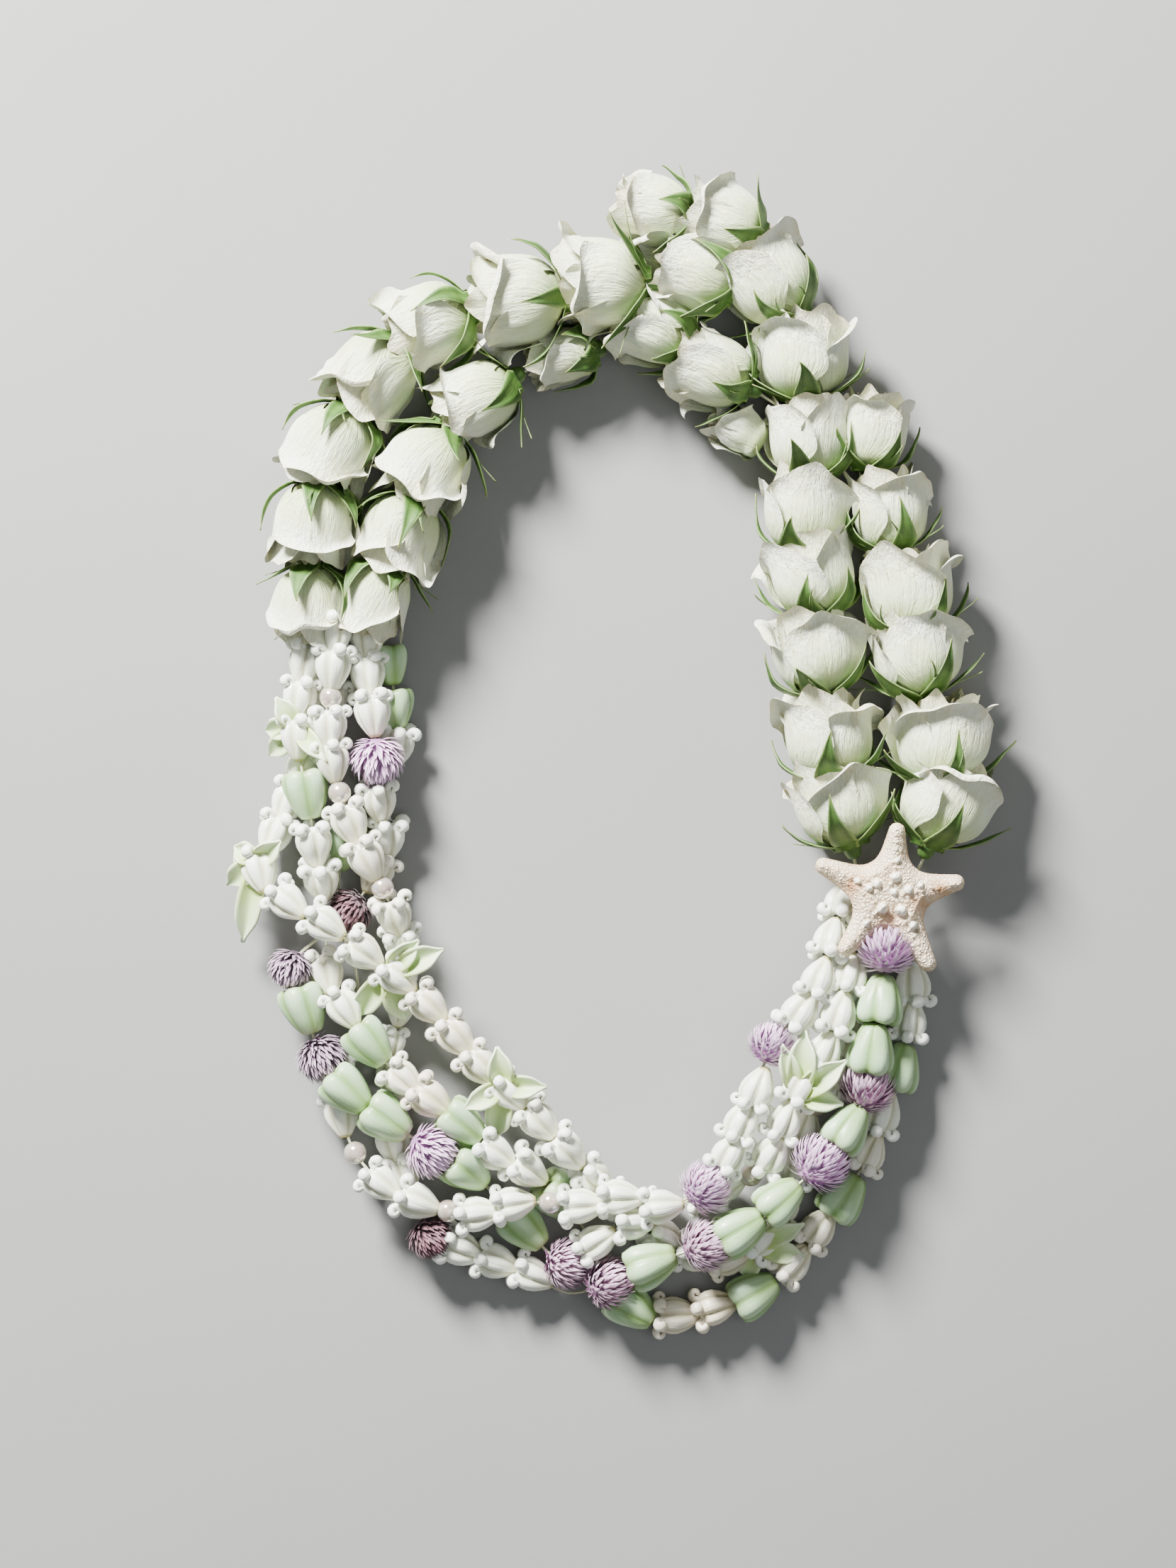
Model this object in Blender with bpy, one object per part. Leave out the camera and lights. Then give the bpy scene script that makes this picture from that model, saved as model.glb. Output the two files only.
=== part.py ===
"""A garland of roses, crown flowers, buds, globe amaranths and pearls on seven strings, closed to a ring."""

import math

import bmesh
import bpy
import numpy as np
from mathutils import Vector

MM = 0.001

# Places are laid out on a quarter millimetre grid, counted right and down from the top left corner
GRID = 0.25 * MM
GRID_MIDDLE = (867, 1074)

# Gap between neighbours, string and bores
GAP = 0.35 * MM
STRING_RADIUS = 0.85
BORE_RADIUS = 1.45

# Distances under which short edges close up, and the small moves and ways of joining that are tried in turn
CLEAN_TOLERANCES = (0.05 * MM, 0.02 * MM, 0.005 * MM, 0.001 * MM, 0.0001 * MM)
ATTEMPTS = (
    (0.0, "MANIFOLD"), (0.031 * MM, "MANIFOLD"), (-0.047 * MM, "MANIFOLD"), (0.08 * MM, "MANIFOLD"),
    (-0.11 * MM, "MANIFOLD"), (0.15 * MM, "MANIFOLD"), (0.0, "EXACT"), (0.04 * MM, "EXACT"),
)
# How far a sharp corner may move as a solid is grown, in gaps, and how flat a corner counts as sharp
GROW_REACH = 2.5
SEPAL_REACH = 8.0
GROW_FLATNESS = 0.375
NUDGE_DIRECTION = Vector((0.62, 0.51, 0.6))
NO_LENGTH = 1e-15
# Faces left after simplifying for each face drawn, and the cubic mm allowed inside neighbours and astray
WHOLE = 9.0
SIMPLIFY_SHARES = (1.02, 1.2, 1.5, 2.0, WHOLE)
OVERLAP_ALLOWED = 0.003
STRAY_ALLOWED = 0.01
FLOOR_SLAB = 30 * MM
FLOOR_HALF_WIDTH = 400 * MM
UPRIGHT = 0.01

# Rose petals as rings about the string. Each ring lists points of one petal, told as degrees from the petal's
# middle, distance along the string in mm and radius in mm
ROSE_LENGTH = 30 * MM
ROSE_WIDTH = 38 * MM
PETALS = 5
# Length kept by a rose of any width, and the run from its foot in mm over which its width takes effect
LENGTH_KEPT = 0.35
WIDENING_RUN = 12
PETAL_RINGS = (
    ((0, 1.9, BORE_RADIUS),),
    ((0, 1.9, 4.3),),
    ((-34, 13.0, 12.9), (34, 13.0, 11.4)),
    ((-33, 24.0, 20.2), (0, 28.6, 20.6), (33, 25.2, 17.8)),
    ((-32, 24.9, 19.0), (0, 29.6, 19.6), (32, 26.0, 16.6)),
    ((0, 10.5, 7.6),),
    ((0, 20.0, 8.8), (36, 25.5, 10.6)),
    ((0, 20.8, 7.5), (36, 26.0, 9.3)),
    ((0, 9.0, 4.4),),
    ((0, 9.0, BORE_RADIUS),),
)

# Rose hip and sepals, rings as distance along the string and radius, and the sepal's tip
HIP_BASE = (-6.0, 1.5)
HIP_BELLY = (-2.4, 4.1)
HIP_TOP = (1.3, 3.3)
SEPAL_TIP = (18.5, 19.2)
STRING_INSIDE = (1.4, 14.0)
SIDE_RUN_START = 11.0
SIDE_RUN_END = -3.4

# Crown flower: rings of arms and valleys, told as the petals' are, and its open petals
CROWN_BASE = ((0, -5.6, 7.3), (36, -4.8, 4.3))
CROWN_SHOULDER = ((0, 0.8, 5.9), (36, 0.8, 4.1))
CROWN_TIP = ((0, 6.6, 2.4),)
CROWN_RINGS = (CROWN_BASE, CROWN_SHOULDER, CROWN_TIP)
SMALL_CROWN = 0.75
COROLLA_THICKNESS = 0.9 * MM
COROLLA_ROOT = 3 * MM
# Open petal from root to tip: share of its length, share of its width, and rise in mm
COROLLA_ROWS = ((0.0, 0.55, 0.0), (0.55, 1.0, 1.6), (1.0, 0.22, 0.0))

# Pearl, bare string, and how far the bare string runs through a bud and a globe
PEARL_RINGS = (((0, -3.3, 2.4),), ((0, 0.0, 4.1), (36, 0.0, 4.1)), ((0, 3.3, 2.4),))
STRING_REACH = {"B": 9.2, "G": 9.6, "S": 5.0}
STRING_SHARE = 0.42

# Crown flower bud and globe amaranth, both with a bore for the string
BUD_RINGS = (
    ((0, -8.2, BORE_RADIUS),), ((0, -8.2, 5.2),), ((0, -4.0, 8.0), (36, -4.0, 6.7)), ((0, 8.3, 2.8),),
    ((0, 8.3, BORE_RADIUS),),
)
GLOBE_RINGS = (
    ((0, -8.4, BORE_RADIUS),), ((0, -5.8, 7.5), (36, -6.6, 5.2)), ((18, 0.0, 9.2), (54, 0.6, 7.6)),
    ((0, 6.0, 7.3), (36, 5.8, 5.3)), ((0, 8.4, BORE_RADIUS),),
)

# Colours as red, green and blue, with roughness
GREEN = ((0.10, 0.19, 0.06), 0.6)
WHITE = ((0.86, 0.85, 0.78), 0.5)
SAND = ((0.80, 0.72, 0.58), 0.8)
PURPLE = ((0.40, 0.27, 0.47), 0.8)
PALE_GREEN = ((0.50, 0.62, 0.38), 0.45)
CREAM = ((0.85, 0.83, 0.74), 0.55)

# Starfish: middle, arm tips, and the heights across an arm
STARFISH_CENTRE = (1252, 1263, 27)
STARFISH_TIPS = ((1263, 1160, 29), (1149, 1216, 26), (1184, 1345, 25), (1313, 1368, 25), (1357, 1242, 27))
STARFISH_TIP_HALF = 3.0 * MM
STARFISH_VALLEY_RADIUS = 8.5 * MM
STARFISH_THICKNESS = 4.0 * MM
STARFISH_RIDGE = 5.0 * MM
# Half widths in tip halves, half way and at the blunt end, and the ridge's height there in ridge heights
STARFISH_HALF_WAY = 0.6
STARFISH_WIDTHS = (1.35, 0.8)
STARFISH_RIDGES = (0.8, 0.45)
STARFISH_RIDGE_END = 0.1
STARFISH_BLUNT = 1.0 * MM

# Roses: place, height of the middle in mm, heading in degrees, width in mm, turn about the string in degrees
ROSES = {
    "U": (1182, 1134, 18, 108, 40, 36), "S": (1168, 1042, 19, 96, 41, 33),
    "Q": (1152, 922, 19, 102, 40, 38), "O": (1146, 814, 18, 100, 39, 34), "L": (1133, 724, 18, 91, 36, 37),
    "J": (1140, 622, 18, 91, 37, 33), "I": (1134, 506, 19, 92, 42, 60), "E": (1086, 400, 19, 128, 40, 25),
    "C": (1022, 318, 18, 158, 34, 36), "D": (985, 389, 19, 160, 33, 8), "A": (924, 300, 18, 172, 31, 0),
    "B": (912, 372, 10, 170, 20, 30), "F": (850, 402, 20, 180, 43, 12), "L10": (734, 424, 19, 186, 44, 48),
    "L9": (610, 456, 19, 204, 38, 2), "L7": (530, 528, 19, 230, 39, 6), "L5": (470, 628, 19, 246, 39, 3),
    "L3": (443, 736, 19, 262, 38, 0), "L1": (440, 850, 17, 264, 33, 2), "V": (1330, 1134, 19, 70, 41, 8),
    "T": (1326, 1048, 20, 92, 43, 2), "R": (1292, 924, 19, 98, 40, 0), "P": (1284, 838, 19, 97, 40, 3),
    "M": (1254, 724, 17, 98, 34, 0), "K": (1232, 610, 17, 84, 32, 12), "N": (1044, 604, 11, 150, 21, 0),
    "H": (1008, 524, 18, 156, 34, 33), "G": (926, 462, 17, 158, 34, 10), "W": (794, 500, 13, 192, 26, 20),
    "L8": (676, 562, 18, 212, 35, 38), "L6": (604, 656, 19, 240, 39, 34), "L4": (566, 752, 18, 252, 37, 37),
    "L2": (530, 842, 17, 254, 32, 35),
}
# Each strand's roses in order, and the side run that leaves one rose and joins another
ROSE_STRANDS = {
    "inner_rose_strand": (
        ("U", "S", "Q", "O", "L", "J", "I", "E", "D", "F", "L10", "L9", "L7", "L5", "L3", "L1"),
        (("C", "A"), "E", "F"),
    ),
    "outer_rose_strand": (("V", "T", "R", "P", "M", "K", "H", "G", "W", "L8", "L6", "L4", "L2"), None),
}
ROSE_GROUPS = (
    ("U",), ("V",), ("S", "T"), ("Q", "R"), ("O", "P"), ("L", "M"), ("J", "K"), ("N", "H"), ("I",), ("E",),
    ("C", "D"), ("A", "F", "B", "G"), ("L10", "W"), ("L9", "L8"), ("L7",), ("L5", "L6"), ("L3", "L4"),
    ("L1", "L2"),
)
# Where a rose string turns after a rose
STRING_BENDS = {"K": ((1198, 582, 11), (1120, 562, 9)), "A": ((898, 336, 17),)}
# Where each rose string starts, before its first rose
ROSE_STRING_STARTS = {"inner_rose_strand": (1216, 1262, 12), "outer_rose_strand": (1282, 1262, 12)}

# Crown strands, item by item along each string. C crown, c small hidden crown, O crown with open petals,
# B bud, G globe, P pearl, S bare string. Each item has its place and the height of its middle in mm
CROWN_STRANDS = {
    "crown_strand_1": (
        ("C", 470, 935, 8), ("C", 462, 985, 8), ("C", 444, 1036, 8), ("C", 424, 1086, 8),
        ("C", 404, 1132, 9), ("C", 384, 1178, 11), ("O", 366, 1228, 15), ("C", 408, 1272, 20),
        ("C", 460, 1303, 24), ("C", 513, 1342, 23), ("O", 561, 1377, 22), ("C", 605, 1416, 21),
        ("C", 643, 1460, 21), ("C", 678, 1502, 21), ("O", 720, 1540, 21), ("C", 760, 1580, 21),
        ("C", 798, 1622, 20), ("C", 838, 1662, 14), ("c", 884, 1692, 8), ("c", 938, 1702, 7),
        ("c", 992, 1696, 7), ("c", 1032, 1678, 8), ("P", 1060, 1660, 12), ("C", 1088, 1628, 18),
        ("C", 1107, 1580, 20), ("O", 1130, 1530, 21), ("C", 1162, 1482, 20), ("C", 1182, 1430, 20),
        ("C", 1200, 1376, 17), ("C", 1212, 1322, 11),
    ),
    "crown_strand_2": (
        ("C", 440, 886, 16), ("C", 432, 935, 17), ("C", 422, 985, 17), ("O", 420, 1040, 18),
        ("S", 424, 1076, 18), ("B", 434, 1122, 19), ("C", 444, 1190, 19), ("C", 452, 1242, 15),
        ("S", 458, 1290, 7), ("S", 457, 1330, 7), ("C", 458, 1374, 12), ("C", 486, 1422, 17),
        ("B", 523, 1474, 19), ("C", 568, 1522, 19), ("C", 608, 1550, 20), ("B", 654, 1586, 20),
        ("C", 698, 1625, 19), ("C", 744, 1650, 17), ("B", 790, 1694, 9), ("S", 828, 1748, 4),
        ("S", 852, 1792, 4), ("B", 893, 1850, 9), ("C", 955, 1861, 8), ("C", 1010, 1850, 8),
        ("B", 1068, 1828, 10), ("C", 1120, 1786, 8), ("C", 1156, 1738, 8), ("B", 1194, 1690, 10),
        ("C", 1228, 1630, 9), ("C", 1248, 1574, 9), ("B", 1271, 1506, 10), ("C", 1286, 1442, 9),
        ("C", 1290, 1390, 9), ("C", 1284, 1336, 8),
    ),
    "crown_strand_3": (
        ("C", 472, 896, 21), ("C", 470, 942, 22), ("P", 468, 984, 22), ("C", 466, 1026, 22),
        ("C", 470, 1074, 22), ("P", 480, 1118, 22), ("C", 495, 1160, 21), ("C", 518, 1212, 21),
        ("P", 540, 1252, 20), ("C", 556, 1292, 18), ("C", 566, 1335, 12), ("c", 568, 1382, 7),
        ("c", 562, 1428, 7), ("c", 552, 1474, 7), ("c", 546, 1522, 7), ("c", 546, 1570, 7),
        ("C", 552, 1616, 8), ("C", 566, 1662, 8), ("S", 585, 1702, 8), ("G", 604, 1744, 12),
        ("C", 648, 1766, 9), ("C", 699, 1784, 8), ("C", 750, 1804, 8), ("S", 802, 1830, 6),
        ("G", 856, 1812, 15), ("B", 921, 1780, 20), ("G", 990, 1757, 21), ("B", 1046, 1732, 21),
        ("B", 1102, 1690, 21), ("G", 1154, 1642, 21), ("B", 1196, 1588, 21), ("G", 1222, 1540, 17),
        ("B", 1229, 1476, 21), ("B", 1241, 1408, 20), ("G", 1249, 1342, 17), ("S", 1256, 1290, 12),
    ),
    "crown_strand_4": (
        ("C", 516, 902, 15), ("C", 518, 952, 16), ("C", 526, 1006, 19), ("G", 532, 1068, 19),
        ("C", 534, 1130, 15), ("C", 546, 1182, 9), ("C", 528, 1232, 7), ("G", 494, 1283, 10),
        ("S", 455, 1318, 13), ("G", 410, 1364, 14), ("B", 430, 1426, 14), ("G", 452, 1490, 15),
        ("B", 493, 1540, 19), ("B", 548, 1580, 19), ("G", 606, 1620, 20), ("B", 660, 1652, 17),
        ("S", 702, 1695, 7), ("B", 742, 1738, 9), ("G", 796, 1785, 12), ("C", 842, 1752, 18),
        ("C", 892, 1724, 18), ("C", 938, 1750, 10), ("C", 984, 1774, 8), ("C", 1030, 1779, 8),
        ("O", 1076, 1750, 10), ("C", 1106, 1702, 8), ("C", 1124, 1650, 8), ("C", 1136, 1602, 8),
        ("P", 1155, 1562, 9), ("C", 1178, 1520, 8), ("C", 1201, 1470, 8), ("C", 1218, 1416, 8),
        ("S", 1226, 1362, 6),
    ),
    "crown_strand_5": (
        ("C", 553, 934, 9), ("C", 560, 990, 9), ("C", 556, 1044, 8), ("S", 534, 1096, 4),
        ("S", 508, 1142, 4), ("B", 482, 1196, 8), ("S", 474, 1254, 4), ("S", 480, 1300, 4),
        ("S", 494, 1350, 4), ("S", 502, 1400, 4), ("S", 496, 1452, 4), ("c", 480, 1510, 6),
        ("C", 480, 1576, 8), ("P", 500, 1628, 13), ("C", 538, 1668, 18), ("C", 588, 1694, 18),
        ("P", 632, 1708, 18), ("C", 674, 1712, 19), ("C", 724, 1698, 19), ("P", 776, 1696, 19),
        ("C", 820, 1700, 20), ("C", 874, 1688, 21), ("C", 932, 1700, 21), ("G", 992, 1676, 21),
        ("C", 1028, 1626, 21), ("C", 1047, 1582, 20), ("C", 1068, 1536, 21), ("G", 1086, 1476, 21),
        ("C", 1128, 1426, 20), ("C", 1154, 1380, 20), ("C", 1172, 1326, 16), ("C", 1190, 1274, 9),
    ),
}

# Open petals: strand, item number, and for each petal its tip place, height and width in mm
OPEN_PETALS = (
    ("crown_strand_1", 6, ((318, 1249, 12, 9), (339, 1331, 10, 9), (397, 1186, 20, 8), (328, 1194, 12, 8))),
    ("crown_strand_1", 10, ((627, 1338, 24, 9), (569, 1441, 14, 10),
                            (592, 1325, 26, 8), (500, 1436, 14, 9))),
    ("crown_strand_1", 14, ((698, 1606, 14, 9), (772, 1530, 26, 8),
                            (655, 1562, 26, 8), (702, 1474, 27, 9))),
    ("crown_strand_1", 25, ((1134, 1452, 26, 10), (1192, 1494, 26, 9),
                            (1101, 1470, 27, 7), (1188, 1556, 24, 8))),
    ("crown_strand_2", 3, ((372, 1030, 14, 8), (378, 1066, 12, 8), (462, 1074, 27, 7), (390, 984, 22, 8))),
    ("crown_strand_4", 24, ((1138, 1776, 12, 8), (1052, 1810, 5, 8),
                            (1030, 1722, 14, 8), (1136, 1728, 14, 7))),
)


def place(right, down, height):
    """A grid place and a height in mm as a point in metres."""
    return Vector(((right - GRID_MIDDLE[0]) * GRID, (GRID_MIDDLE[1] - down) * GRID, height * MM))


def axes_along(direction):
    """Two unit vectors across a direction, the first one level."""
    along = direction.normalized()
    across = Vector((-along.y, along.x, 0))
    if across.length < UPRIGHT:
        across = Vector((1, 0, 0))
    across.normalize()
    return along, across, along.cross(across)


class Shape:
    """Vertices and triangles of one closed solid."""

    def __init__(self):
        self.points = []
        self.faces = []
        self.reach = GROW_REACH

    def point(self, where):
        self.points.append(where)
        return len(self.points) - 1

    def ring(self, origin, direction, steps, turn=0.0, grow=1.0, stretch=1.0):
        """Adds a ring, the steps repeated for each petal or arm. Gives each point's number and angle."""
        made = []
        for part in range(PETALS):
            for degrees, along, radius in steps:
                angle = turn + 360 * part / PETALS + degrees
                spread = 1 + (grow - 1) * min(1, abs(along) / WIDENING_RUN)
                where = about_axis(origin, direction, along * stretch, radius * spread, angle)
                made.append((self.point(where), angle))
        return made

    def stitch(self, low, high):
        """Joins two rings of any counts, point by point as their angles come."""
        low_line = low + [(low[0][0], low[0][1] + 360)]
        high_line = high + [(high[0][0], high[0][1] + 360)]
        i = 0
        j = 0
        while i < len(low) or j < len(high):
            low_next = low_line[i + 1][1] if i < len(low) else math.inf
            high_next = high_line[j + 1][1] if j < len(high) else math.inf
            if low_next <= high_next:
                self.faces.append((low_line[i][0], low_line[i + 1][0], high_line[j][0]))
                i += 1
            else:
                self.faces.append((low_line[i][0], high_line[j + 1][0], high_line[j][0]))
                j += 1

    def cap(self, ring, ahead):
        """Closes a ring flat, facing ahead or back, a star shaped one round its middle."""
        numbers = [number for number, angle in ring]
        if not ahead:
            numbers.reverse()
        if len(ring) <= PETALS:
            for first, second in zip(numbers[1:], numbers[2:]):
                self.faces.append((numbers[0], first, second))
            return
        middle = self.point(sum((self.points[number] for number in numbers), Vector()) / len(numbers))
        for first, second in zip(numbers, numbers[1:] + numbers[:1]):
            self.faces.append((first, second, middle))

    def drop_unused(self):
        """Removes points that no face uses."""
        used = sorted({number for face in self.faces for number in face})
        renumbered = {old: new for new, old in enumerate(used)}
        self.points = [self.points[number] for number in used]
        self.faces = [tuple(renumbered[number] for number in face) for face in self.faces]

    def loft(self, rings, capped=True):
        """Joins rings one after the other and closes both ends."""
        for low, high in zip(rings, rings[1:]):
            self.stitch(low, high)
        if capped:
            self.cap(rings[0], False)
            self.cap(rings[-1], True)


def blade(rows, thickness):
    """A thin curved solid over a net of points, split alike on both faces."""
    shape = Shape()
    height = len(rows)
    width = len(rows[0])
    normals = []
    for r in range(height):
        line = []
        for c in range(width):
            along = rows[min(r + 1, height - 1)][c] - rows[max(r - 1, 0)][c]
            across = rows[r][min(c + 1, width - 1)] - rows[r][max(c - 1, 0)]
            line.append(across.cross(along).normalized())
        normals.append(line)
    front = [[shape.point(rows[r][c] + normals[r][c] * thickness / 2) for c in range(width)]
             for r in range(height)]
    back = [[shape.point(rows[r][c] - normals[r][c] * thickness / 2) for c in range(width)]
            for r in range(height)]
    for r in range(height - 1):
        for c in range(width - 1):
            lead = c < (width - 1) / 2
            corners = ((r, c), (r, c + 1), (r + 1, c + 1), (r + 1, c))
            split = ((0, 1, 2), (0, 2, 3)) if lead else ((0, 1, 3), (1, 2, 3))
            for triangle in split:
                numbers = [corners[number] for number in triangle]
                shape.faces.append(tuple(front[a][b] for a, b in numbers))
                shape.faces.append(tuple(back[a][b] for a, b in reversed(numbers)))
    edge = [(0, c) for c in range(width)]
    edge += [(r, width - 1) for r in range(1, height)]
    edge += [(height - 1, c) for c in range(width - 2, -1, -1)]
    edge += [(r, 0) for r in range(height - 2, 0, -1)]
    for number, (r, c) in enumerate(edge):
        next_r, next_c = edge[(number + 1) % len(edge)]
        shape.faces.append((front[r][c], back[r][c], back[next_r][next_c]))
        shape.faces.append((front[r][c], back[next_r][next_c], front[next_r][next_c]))
    return shape


def about_axis(origin, direction, along_mm, radius_mm, degrees):
    """A point told by its distance along an axis, radius and angle."""
    along, across, up = axes_along(direction)
    angle = math.radians(degrees)
    spoke = across * math.cos(angle) + up * math.sin(angle)
    return origin + along * along_mm * MM + spoke * radius_mm * MM


def stretch_of(scale):
    """How long a rose is for its scale."""
    return LENGTH_KEPT + (1 - LENGTH_KEPT) * scale


def rose_frame(name):
    """Base point, direction, scale and turn of a rose."""
    right, down, height, heading, width, turn = ROSES[name]
    direction = Vector((math.cos(math.radians(heading)), math.sin(math.radians(heading)), 0))
    scale = width * MM / ROSE_WIDTH
    length = ROSE_LENGTH * stretch_of(scale)
    base = place(right, down, height) - direction * length / 2
    return base, direction, scale, turn


def rose_petals(name):
    """The white petals of one rose as one folded skin: five outer petals round five inner ones."""
    base, direction, scale, turn = rose_frame(name)
    shape = Shape()
    stretch = stretch_of(scale)
    rings = [shape.ring(base, direction, steps, turn, scale, stretch) for steps in PETAL_RINGS]
    shape.loft(rings, False)
    shape.stitch(rings[-1], rings[0])
    return shape


def hip_rings(shape, name):
    """Rings of a rose hip with its string, and its sepals' tips."""
    base, direction, scale, turn = rose_frame(name)
    stretch = stretch_of(scale)
    steps = [HIP_BASE, HIP_BELLY, HIP_TOP] + [(along, STRING_RADIUS) for along in STRING_INSIDE]
    rings = [shape.ring(base, direction, ((0, along, radius),), turn) for along, radius in steps]
    tips = shape.ring(base, direction, ((36, *SEPAL_TIP),), turn, scale, stretch)
    return rings, tips


def calyx_faces(shape, rings, tips):
    """The faces of a hip, each side of it drawn out into a sepal."""
    shape.stitch(rings[0], rings[1])
    for number, tip in enumerate(tips):
        after = (number + 1) % len(tips)
        corners = (rings[1][number][0], rings[1][after][0], rings[2][after][0], rings[2][number][0])
        for first, second in zip(corners, corners[1:] + corners[:1]):
            shape.faces.append((first, second, tip[0]))
    shape.stitch(rings[2], rings[3])
    shape.stitch(rings[3], rings[4])


def bend_rings(shape, name, after):
    """The rings where the string turns between a rose and the point after it."""
    base, direction, scale, turn = rose_frame(name)
    leaving = base + direction * STRING_INSIDE[1] * MM
    bends = [place(*bend) for bend in STRING_BENDS.get(name, ())]
    line = [leaving] + bends + [after]
    return [shape.ring(bend, line[number + 2] - line[number], ((0, 0, STRING_RADIUS),))
            for number, bend in enumerate(bends)]


def chain(shape, names, leaves=None, joins=None, start=None):
    """The rings of a run of roses, a hip's with its sepals' tips. A side run leaves and joins others."""
    points = [rose_frame(name)[0] for name in names[1:]]
    links = []
    if start:
        where = place(*start)
        links.append(([shape.ring(where, rose_frame(names[0])[0] - where, ((0, 0, STRING_RADIUS),))], None))
    if leaves:
        base, direction, scale, turn = rose_frame(leaves)
        links.append(([shape.ring(base, direction, ((0, SIDE_RUN_START, STRING_RADIUS),), turn)], None))
    if joins:
        base, direction, scale, turn = rose_frame(joins)
        points.append(base + direction * SIDE_RUN_END * MM)
    for number, name in enumerate(names):
        links.append(hip_rings(shape, name))
        if number < len(points):
            links += [([bend], None) for bend in bend_rings(shape, name, points[number])]
    if joins:
        arriving = points[-1] - place(*STRING_BENDS[names[-1]][-1])
        links.append(([shape.ring(points[-1], arriving, ((0, 0, STRING_RADIUS),))], None))
    return links


def calyx_run(names, leaves=None, joins=None, start=None):
    """String, hips and sepals of a run of roses as one skin."""
    shape = Shape()
    before = None
    for rings, tips in chain(shape, names, leaves, joins, start):
        if before:
            shape.stitch(before, rings[0])
        else:
            shape.cap(rings[0], False)
        if tips:
            calyx_faces(shape, rings, tips)
        before = rings[-1]
    shape.cap(before, True)
    return shape


def sepal_cutters(name):
    """The sepals of a rose as separate pointed solids."""
    shapes = []
    for number in range(PETALS):
        shape = Shape()
        rings, tips = hip_rings(shape, name)
        after = (number + 1) % PETALS
        corners = (rings[1][number][0], rings[1][after][0], rings[2][after][0], rings[2][number][0])
        for first, second in zip(corners, corners[1:] + corners[:1]):
            shape.faces.append((first, second, tips[number][0]))
        shape.faces += [(corners[0], corners[2], corners[1]), (corners[0], corners[3], corners[2])]
        shape.reach = SEPAL_REACH
        shape.drop_unused()
        shapes.append(shape)
    return shapes


def calyx_cutters(names, leaves=None, joins=None, start=None):
    """The same run told as separate solids: hips, sepals and the string between them."""
    shapes = [sepal for name in names for sepal in sepal_cutters(name)]
    count = len(chain(Shape(), names, leaves, joins, start))
    for number in range(count):
        shape = Shape()
        rings, tips = chain(shape, names, leaves, joins, start)[number]
        if tips:
            shape.loft(rings)
            shape.drop_unused()
            shapes.append(shape)
    for number in range(count - 1):
        shape = Shape()
        links = chain(shape, names, leaves, joins, start)
        shape.loft([links[number][0][-1], links[number + 1][0][0]])
        shape.drop_unused()
        shapes.append(shape)
    return shapes


def item_rings(shape, kind, middle, direction, room):
    """Rings of one item of a crown strand, with room for its string before the next item in mm."""
    if kind in "CO":
        steps = CROWN_RINGS
    elif kind == "c":
        steps = [[(degrees, along, radius * SMALL_CROWN) for degrees, along, radius in step]
                 for step in CROWN_RINGS]
    elif kind == "P":
        steps = PEARL_RINGS
    else:
        reach = min(STRING_REACH[kind], room)
        steps = (((0, -reach, STRING_RADIUS),), ((0, reach, STRING_RADIUS),))
    return [shape.ring(middle, direction, step) for step in steps]


def strand_run(items):
    """String, crowns and pearls of a strand as one skin."""
    shape = Shape()
    rings = []
    for item in items:
        rings += item_rings(shape, *item)
    shape.loft(rings)
    return shape


def bored(rings_steps, middle, direction):
    """A closed solid of rings with a bore along the string."""
    shape = Shape()
    rings = [shape.ring(middle, direction, steps) for steps in rings_steps]
    shape.loft(rings, False)
    shape.stitch(rings[-1], rings[0])
    return shape


def open_petal(root, tip, width):
    """A flat pointed petal from its root to its tip."""
    forward = tip - root
    across = Vector((-forward.y, forward.x, 0)).normalized()
    rows = []
    for share, part, rise in COROLLA_ROWS:
        centre = root + forward * share + Vector((0, 0, rise * MM))
        rows.append([centre - across * width * part * MM / 2, centre + across * width * part * MM / 2])
    return blade(rows, COROLLA_THICKNESS)


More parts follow.
